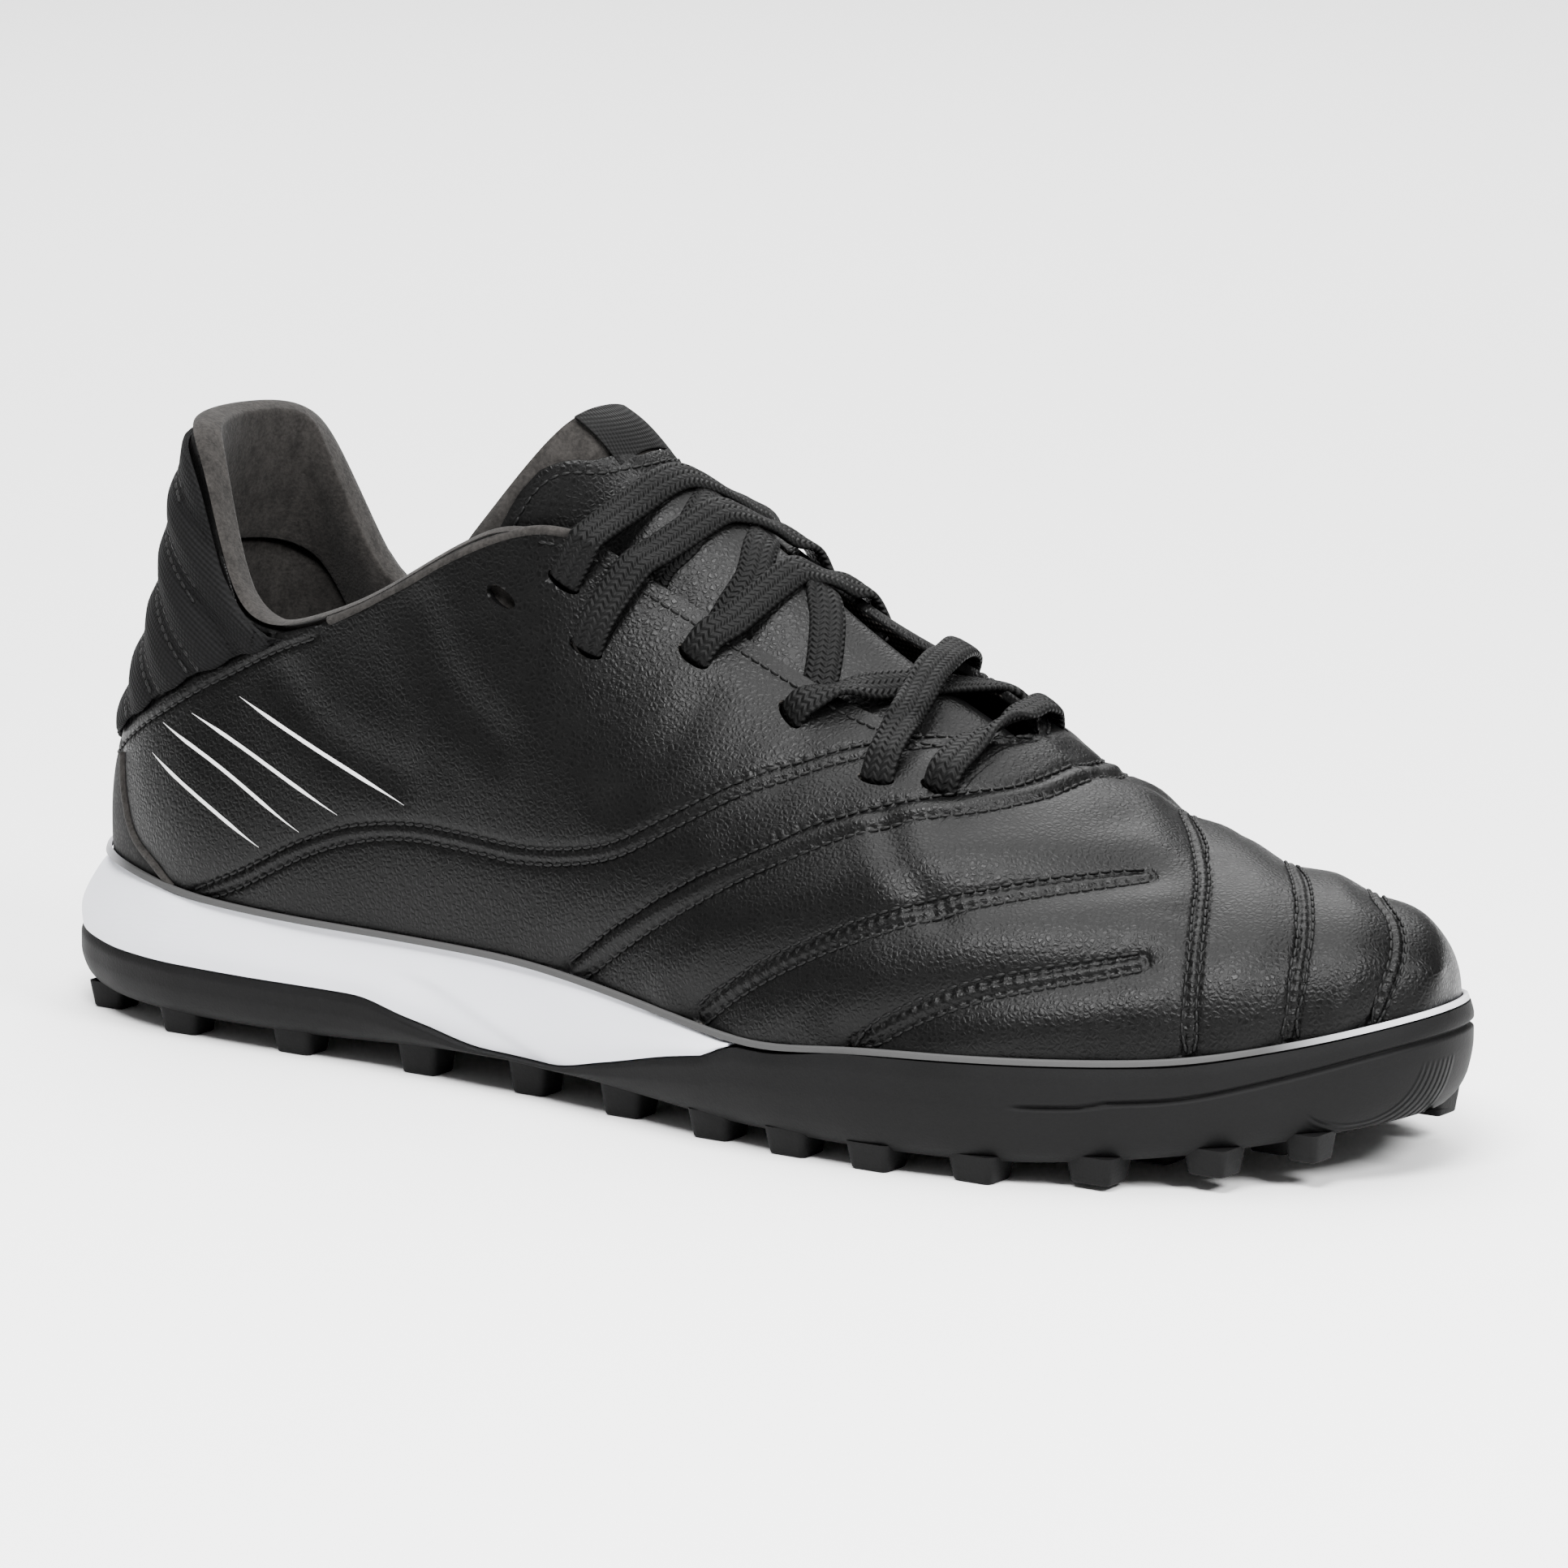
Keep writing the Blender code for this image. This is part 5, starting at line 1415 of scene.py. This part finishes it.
tongue = refined_copy("tongue", "tongue_pad", 2)
tongue_tree = tree_of(tongue)
lace_lengths = {}
for name, middle_run in RUNS.items():
    start, start_ups = hole_end(name, NEAR_HOLES, middle_run[0])
    finish, finish_ups = hole_end(name, FAR_HOLES, middle_run[-1])
    points = start[::-1] + [np.array(p, float) for p in middle_run] + finish
    ups = start_ups[::-1] + [body_up(p) for p in middle_run] + finish_ups
    line = smooth_line(points, 0.8)
    coarse = np.asarray(points)
    run = np.concatenate([[0], np.cumsum(np.linalg.norm(np.diff(coarse, axis=0), axis=1))])
    fine = np.concatenate([[0], np.cumsum(np.linalg.norm(np.diff(line, axis=0), axis=1))])
    fine *= run[-1] / fine[-1]
    ups = np.array([np.interp(fine, run, np.array(ups)[:, axis]) for axis in range(3)]).T
    cage, along, across, length = ribbon_cage(line, lengths_one(averaged(ups, 2)))
    lace_lengths[name] = round(length, 1)
    piece = rolled("woven_" + name, cage, 60, along=along, across=across)
    node = {"over": "lace_crossed"}.get(name, "lace_" + name)
    settle(piece, node, "lace_cord", LACE)
print("lace lengths in mm", lace_lengths, "sum", round(sum(lace_lengths.values())))

# %% [markdown]
# Where the throat is open, the lower runs show too. They lie flat on the tongue.

# %% Runs below
UNDER_RUNS = {
    "under_second": [(-8.0, -23.5, 90.0), (-7.7, -20.2, 94.4), (-8.0, -14.3, 97.6), (-6.2, -8.1, 100.6),
                     (-7.0, -2.0, 105.0), (-8.6, 3.0, 107.6)],
    "under_third": [(6.0, -20.0, 84.4), (6.6, -11.0, 91.0), (7.4, -6.1, 95.6), (5.4, -1.1, 99.8),
                    (3.2, 3.8, 101.6)],
    "under_crossed": [(26.5, -13.5, 76.8), (25.0, -9.0, 81.6), (23.4, -5.5, 86.0), (21.2, -2.0, 89.9),
                      (18.2, 0.6, 93.0), (15.2, 2.6, 94.4)],
}
for name, points in UNDER_RUNS.items():
    line = smooth_line(points, 0.8)
    laid = []
    for point in line:
        place, normal, _, _ = tongue_tree.find_nearest(Vector(point) * MM)
        normal = np.array(normal) if normal[2] > 0 else -np.array(normal)
        laid.append(np.concatenate([np.array(place) / MM + normal * (LACE_HIGH / 2 + 0.15), normal]))
    laid = averaged(np.array(laid), 2)
    cage, along, across, _ = ribbon_cage(laid[:, :3], lengths_one(laid[:, 3:]))
    piece = rolled("woven_" + name, cage, 60, along=along, across=across)
    node = {"under_second": "lace_second", "under_third": "lace_third", "under_crossed": "lace_crossed"}[name]
    settle(piece, node, "lace_cord", LACE)

# %% [markdown]
# ## Tongue
# The tongue is a padded suede tongue with a leather panel laid over its middle. The panel's top edge
# is stitched. Below it, a row of flat black discs is painted shade standing in for small vent holes.
# A woven tab is folded over the very top.

# %% Tongue
# The panel's top edge: places across the tongue with the places along it that the panel reaches to
LEATHER_PANEL = [(-0.97, 0.955), (-0.85, 0.970), (-0.75, 0.965), (-0.55, 0.910), (-0.2, 0.875),
                 (0.2, 0.875), (0.55, 0.895), (0.75, 0.955), (0.85, 0.960), (0.97, 0.950)]
TONGUE_ROWS = 60
TONGUE_ACROSS = 44
INSTEP_HEIGHT = 105 * MM

# The line above the foot that the half widths of the top edge are measured from
SPINE = Table(
    "at middle",
    [
        (0.00, -0.005),
        (0.20, -0.008),
        (0.35, 0.000),
        (0.50, 0.020),
        (0.62, 0.028),
        (0.80, 0.042),
        (1.00, 0.057),
    ],
)

# The tongue's top face along its crest, from its front end under the vamp to its top edge
TONGUE = Table(
    "at x height half drop back thick arch lean",
    [
        (0.00, 0.735, 0.595 * INSTEP_HEIGHT, 0.130, 0.060, 0.000, 0.45, 1.5, 0.000),
        (0.08, 0.705, 0.634 * INSTEP_HEIGHT, 0.150, 0.085, 0.000, 0.50, 1.5, 0.000),
        (0.16, 0.675, 0.680 * INSTEP_HEIGHT, 0.165, 0.110, 0.000, 0.60, 1.5, 0.000),
        (0.26, 0.640, 0.735 * INSTEP_HEIGHT, 0.172, 0.135, 0.000, 0.70, 1.5, -0.006),
        (0.42, 0.584, 0.830 * INSTEP_HEIGHT, 0.177, 0.178, 0.000, 0.80, 1.4, -0.008),
        (0.58, 0.530, 0.935 * INSTEP_HEIGHT, 0.180, 0.205, 0.010, 0.90, 1.5, -0.010),
        (0.72, 0.480, 1.020 * INSTEP_HEIGHT, 0.176, 0.198, 0.040, 1.00, 1.8, -0.018),
        (0.84, 0.448, 1.075 * INSTEP_HEIGHT, 0.178, 0.215, 0.085, 1.00, 2.4, -0.020),
        (0.94, 0.420, 1.155 * INSTEP_HEIGHT, 0.174, 0.235, 0.150, 1.00, 3.4, -0.045),
        (1.00, 0.406, 1.178 * INSTEP_HEIGHT, 0.168, 0.250, 0.185, 0.80, 4.0, -0.055),
    ],
)


def tongue_middle(along_share):
    spine = SPINE("middle", TONGUE("x", along_share))
    return (spine + TONGUE("lean", along_share)) * BALL_WIDTH


def tongue_point(along_share, across, depth=0.0):
    """Top face of the tongue: across runs from -1, its outer edge, to 1."""
    bow = abs(across) ** TONGUE("arch", along_share)
    x = TONGUE("x", along_share) * LENGTH - TONGUE("back", along_share) * BALL_WIDTH * bow
    y = tongue_middle(along_share) + across * TONGUE("half", along_share) * BALL_WIDTH
    z = TONGUE("height", along_share) - TONGUE("drop", along_share) * BALL_WIDTH * bow
    if depth == 0:
        return np.array([x, y, z])
    step = 0.01
    edge = min(max(across, step - 1), 1 - step)
    near = min(max(along_share, step), 1 - step)
    right = tongue_point(near, edge + step) - tongue_point(near, edge - step)
    ahead = tongue_point(near + step, edge) - tongue_point(near - step, edge)
    normal = np.cross(right, ahead)
    normal *= np.sign(normal[2]) / np.linalg.norm(normal)
    return np.array([x, y, z]) - depth * normal


def panel_cage(lift):
    across = np.linspace(-0.97, 0.97, TONGUE_ACROSS + 1)
    tops = np.interp(across, [c for c, _ in LEATHER_PANEL], [a for _, a in LEATHER_PANEL])
    cage = np.zeros((TONGUE_ACROSS + 1, TONGUE_ROWS + 1, 3))
    for i, c in enumerate(across):
        for j in range(TONGUE_ROWS + 1):
            a = 0.01 + (tops[i] - 0.01) * j / TONGUE_ROWS
            cage[i, j] = tongue_point(a, c, -lift)
    return cage + SHIFT


settle(tongue, "tongue", "lining_suede", SUEDE)
panel = rolled("tongue_leather", panel_cage(0.15 * MM))
thicken = panel.modifiers.new("leather", "SOLIDIFY")
thicken.thickness = 0.8 * MM
thicken.offset = 1
apply_all(panel)
rim = panel.modifiers.new("soft_rim", "BEVEL")
rim.width = 0.3 * MM
rim.segments = 2
rim.limit_method = "ANGLE"
apply_all(panel)
smooth(panel, 40)
settle(panel, "tongue", "upper_leather", LEATHER)
panel_tree = tree_of(panel)

row_across = np.linspace(-0.93, 0.93, 80)
row_tops = np.interp(row_across, [c for c, _ in LEATHER_PANEL], [a for _, a in LEATHER_PANEL]) - 0.022
top_row = [(tongue_point(a, c, -1 * MM) + SHIFT) / MM for c, a in zip(row_across, row_tops)]
stitched("tongue_stitches", panel_tree, [smooth_line(top_row, STITCH_PITCH)],
         "upper_leather", "tongue")

# The vent holes are not cut: each one is a flat black disc on the panel without reflection, painted shade
# where a hole would be.
bpy.ops.object.select_all(action="DESELECT")
bpy.ops.mesh.primitive_cylinder_add(vertices=12, radius=0.5, depth=1)
dot = bpy.context.object
VENT_SIZE = np.array([0.95, 0.95, 0.16])
vent_spots, vent_frames = [], []
for c in np.linspace(-0.66, 0.66, 9):
    laid, normals = lay_on(panel_tree, [(tongue_point(0.81 + 0.10 * c * c, c, -1 * MM) + SHIFT) / MM])
    turn = np.array(normals[0])
    aside = lengths_one(np.cross([[1.0, 0, 0]], [turn]))[0]
    vent_spots.append(laid[0] - turn * 0.02 * MM)
    vent_frames.append(np.column_stack([np.cross(aside, turn), aside, turn]) * VENT_SIZE * MM)
vent_shade_discs = joined_copies("tongue_vent_shade_discs", dot, vent_spots, vent_frames)
discard(dot)
painted_hole_shade = Finish("vent_painted_shade")
settle(vent_shade_discs, "tongue", "upper_leather", painted_hole_shade.paint(
    Base_Color=painted_hole_shade.mix(grey(0.001), grey(0.003), painted_hole_shade.noise(2000)),
    Roughness=1.0, Specular_IOR_Level=0.0))

# %% [markdown]
# The tab is the folded piece of woven cloth over the tongue's top edge.

# %% Tab
tab = refined_copy("tongue_label", "tongue_tab", 3)
settle(tab, "tongue_label", "label_cloth", LABEL_CLOTH)

# %% [markdown]
# ## Heel and collar
# The heel is quilted knit: soft rolls of padding between double rows of stitches that fall towards the
# front. Inside it the collar is lined with padded suede, rolled over the edge. Its front ends are tucked
# down behind the leather.

# %% Heel panel
heel = refined_copy("heel_panel", "heel_quilt", 3, 60)
spots, normals = places(heel), outward(heel)
HEEL_INSET, HEEL_HEIGHT = 7.8 * MM, 115 * MM
RIB_PITCH = 10.5
RIB_STEP, RIB_FIRST, RIB_FALL = RIB_PITCH * MM, 46 * MM, 0.7
RIB_SEARCH = 0.08
HEEL_MIDDLE_X = -0.095
HEEL_LEAN = 20.6 * MM

# The heel's back: how far it leans towards the toe at each height
HEEL_CURVE = Table(
    "height lean",
    [
        (0.24, 0.000 * HEEL_LEAN),
        (0.36, 0.000 * HEEL_LEAN),
        (0.42, 0.058 * HEEL_LEAN),
        (0.50, 0.214 * HEEL_LEAN),
        (0.59, 0.437 * HEEL_LEAN),
        (0.67, 0.602 * HEEL_LEAN),
        (0.75, 0.709 * HEEL_LEAN),
        (0.87, 0.825 * HEEL_LEAN),
        (0.95, 0.922 * HEEL_LEAN),
        (1.00, 1.000 * HEEL_LEAN),
    ],
)


def rib_level(spots_here):
    """How far up the ribs a place is, in ribs."""
    x = spots_here[:, 0] - SHIFT[0]
    back = HEEL_INSET + np.array([HEEL_CURVE("lean", z / HEEL_HEIGHT) for z in spots_here[:, 2]])
    return (spots_here[:, 2] + RIB_FALL * (x - back) - RIB_FIRST) / RIB_STEP


level = rib_level(spots)
off = np.abs(level - np.rint(level)) * RIB_STEP / MM
away = ((spots - np.array([HEEL_MIDDLE_X, 0, 0])) * normals * np.array([1, 1, 0])).sum(axis=1) > 0
puff = 1.3 * np.sqrt(np.clip(off / (RIB_PITCH / 2), 0, 1)) - 0.5 - 0.25 * hill(off - 1.5, 0.5)
put(heel, spots + normals * (puff * away)[:, None] * MM)
settle(heel, "heel_panel", "knit_panel", KNIT)
heel_tree = tree_of(heel)


def rib_row(number, apart):
    """A needle row beside a channel between two ribs, found by looking in at the heel all round."""
    found = []
    for turn in np.linspace(math.radians(-172), math.radians(-64), 64):
        direction = Vector((math.cos(turn), math.sin(turn), 0))
        for side in (-1, 1):
            z = RIB_FIRST + number * RIB_STEP
            place = None
            for _ in range(5):
                outwards = Vector((direction.x, direction.y * -side, 0))
                start = Vector((-0.098, 0, z)) + outwards * RIB_SEARCH
                place, _, _, _ = heel_tree.ray_cast(start, -outwards, RIB_SEARCH)
                if place is None:
                    break
                missing = (number + apart / RIB_PITCH) - rib_level(np.array([place[:]]))[0]
                z += missing * RIB_STEP * 0.7
            if place is not None:
                found.append((side * (turn + math.pi), place[:]))
    found.sort()
    return np.array([place for _, place in found]) / MM


RIB_ROW_APART = 1.25
rows = []
for number in range(1, 7):
    for apart in (-RIB_ROW_APART, RIB_ROW_APART):
        row = rib_row(number, apart)
        if len(row) < 4:
            continue
        gaps = np.flatnonzero(np.linalg.norm(np.diff(row, axis=0), axis=1) > 9)
        for piece_of_row in np.split(row, gaps + 1):
            if len(piece_of_row) > 3:
                rows.append(smooth_line(piece_of_row, STITCH_PITCH))
stitched("heel_stitches", heel_tree, rows, "knit_panel", "heel_panel", 0.05)

lining = refined_copy("collar_lining", "collar_suede", 3, 60)
spots = places(lining)
tuck = np.clip((spots[:, 0] / MM + 40) / 12, 0, 1) ** 2 * np.clip((spots[:, 2] / MM - 70) / 15, 0, 1)
spots[:, 2] -= 3.0 * MM * tuck
put(lining, spots)
settle(lining, "collar_lining", "lining_suede", SUEDE)

# %% [markdown]
# A thin suede cord edges the counter at the heel, a rolled binding follows the top edge as far as the
# eyestay, and four slender lines are printed on the outer side, drawn out to points at both ends.

# %% Cord, binding and print
def closed_tube(laid, cage):
    """The tube's cage with both its ends drawn together on the line."""
    corners = len(cage)
    first = np.repeat(laid[None, :1], corners, axis=0)
    last = np.repeat(laid[None, -1:], corners, axis=0)
    return np.concatenate([first, cage, last], axis=1)


CORD_RADIUS, CORD_CORNERS = 0.85 * MM, 11
for side, drawn in (("outer", SEAMS["counter"]), ("inner", mirrored(SEAMS["counter"]))):
    laid, normals = lay_on(tree, smooth_line(drawn, 0.8))
    turns = np.linspace(0, 2 * math.pi, CORD_CORNERS)[:, None, None]
    aside = lengths_one(np.cross(ahead_of(laid), normals))
    ring = aside[None] * np.cos(turns) + normals[None] * np.sin(turns)
    cage = closed_tube(laid, laid[None] + normals[None] * 0.1 * MM + ring * CORD_RADIUS)
    settle(rolled("counter_cord_" + side, cage, 60), "upper", "lining_suede", SUEDE)


def topline(side):
    """Along the top edge of the upper, from beside the collar to the top of the eyestay."""
    centre, _ = middles(upper)
    found = []
    for x in np.arange(-0.076, -0.015, 0.0035):
        here = (abs(centre[:, 0] - x) < 0.002) & (side * centre[:, 1] > 0) & (centre[:, 2] > 0.06)
        picked = np.flatnonzero(here)
        if len(picked):
            top = picked[np.argsort(centre[picked, 2])[-6:]]
            found.append(centre[top].mean(axis=0))
    return np.array(found) / MM


BINDING_HALF_WIDE, BINDING_HALF_HIGH, BINDING_CORNERS = 1.35, 1.0, 13
for side, label in ((-1, "outer"), (1, "inner")):
    laid = smooth_line(averaged(topline(side), 2), 0.9) * MM
    turns = np.linspace(0, 2 * math.pi, BINDING_CORNERS)[:, None, None]
    ahead = ahead_of(laid)
    aside = lengths_one(np.cross(ahead, np.tile([0.0, 0, 1.0], (len(laid), 1))))
    above = np.cross(aside, ahead)
    ring = aside[None] * (np.cos(turns) * BINDING_HALF_WIDE)
    ring = ring + above[None] * (np.sin(turns) * BINDING_HALF_HIGH)
    cage = closed_tube(laid, laid[None] + ring * MM)
    settle(rolled("topline_binding_" + label, cage, 60), "upper", "lining_suede", SUEDE)

PRINT_HALF_WIDE = 0.36
PRINT_LINES = [
    [(-93.5, -30.7, 66.6), (-71.9, -34.5, 59.0), (-50.3, -36.0, 51.2)],
    [(-104.6, -31.5, 62.4), (-85.0, -34.6, 55.4), (-65.9, -36.2, 47.6)],
    [(-112.3, -30.7, 59.7), (-93.0, -34.2, 52.0), (-74.7, -36.8, 43.4)],
    [(-114.7, -31.1, 53.7), (-100.0, -34.4, 46.8), (-84.1, -37.0, 39.4)],
]
for number, points in enumerate(PRINT_LINES):
    laid, normals = lay_on(tree, smooth_line(points, 1.0))
    aside = lengths_one(np.cross(ahead_of(laid), normals))
    taper = np.clip(np.minimum(np.linspace(0, 1, len(laid)) * 5, np.linspace(1, 0, len(laid)) * 4), 0.08, 1)
    cage = np.array([laid + normals * 0.10 * MM + aside * (across * PRINT_HALF_WIDE * taper)[:, None] * MM
                     for across in (-1, -0.3, 0.3, 1)])
    line = rolled(f"print_line_{number + 1}", cage)
    settle(line, "upper", "upper_leather", PRINT)
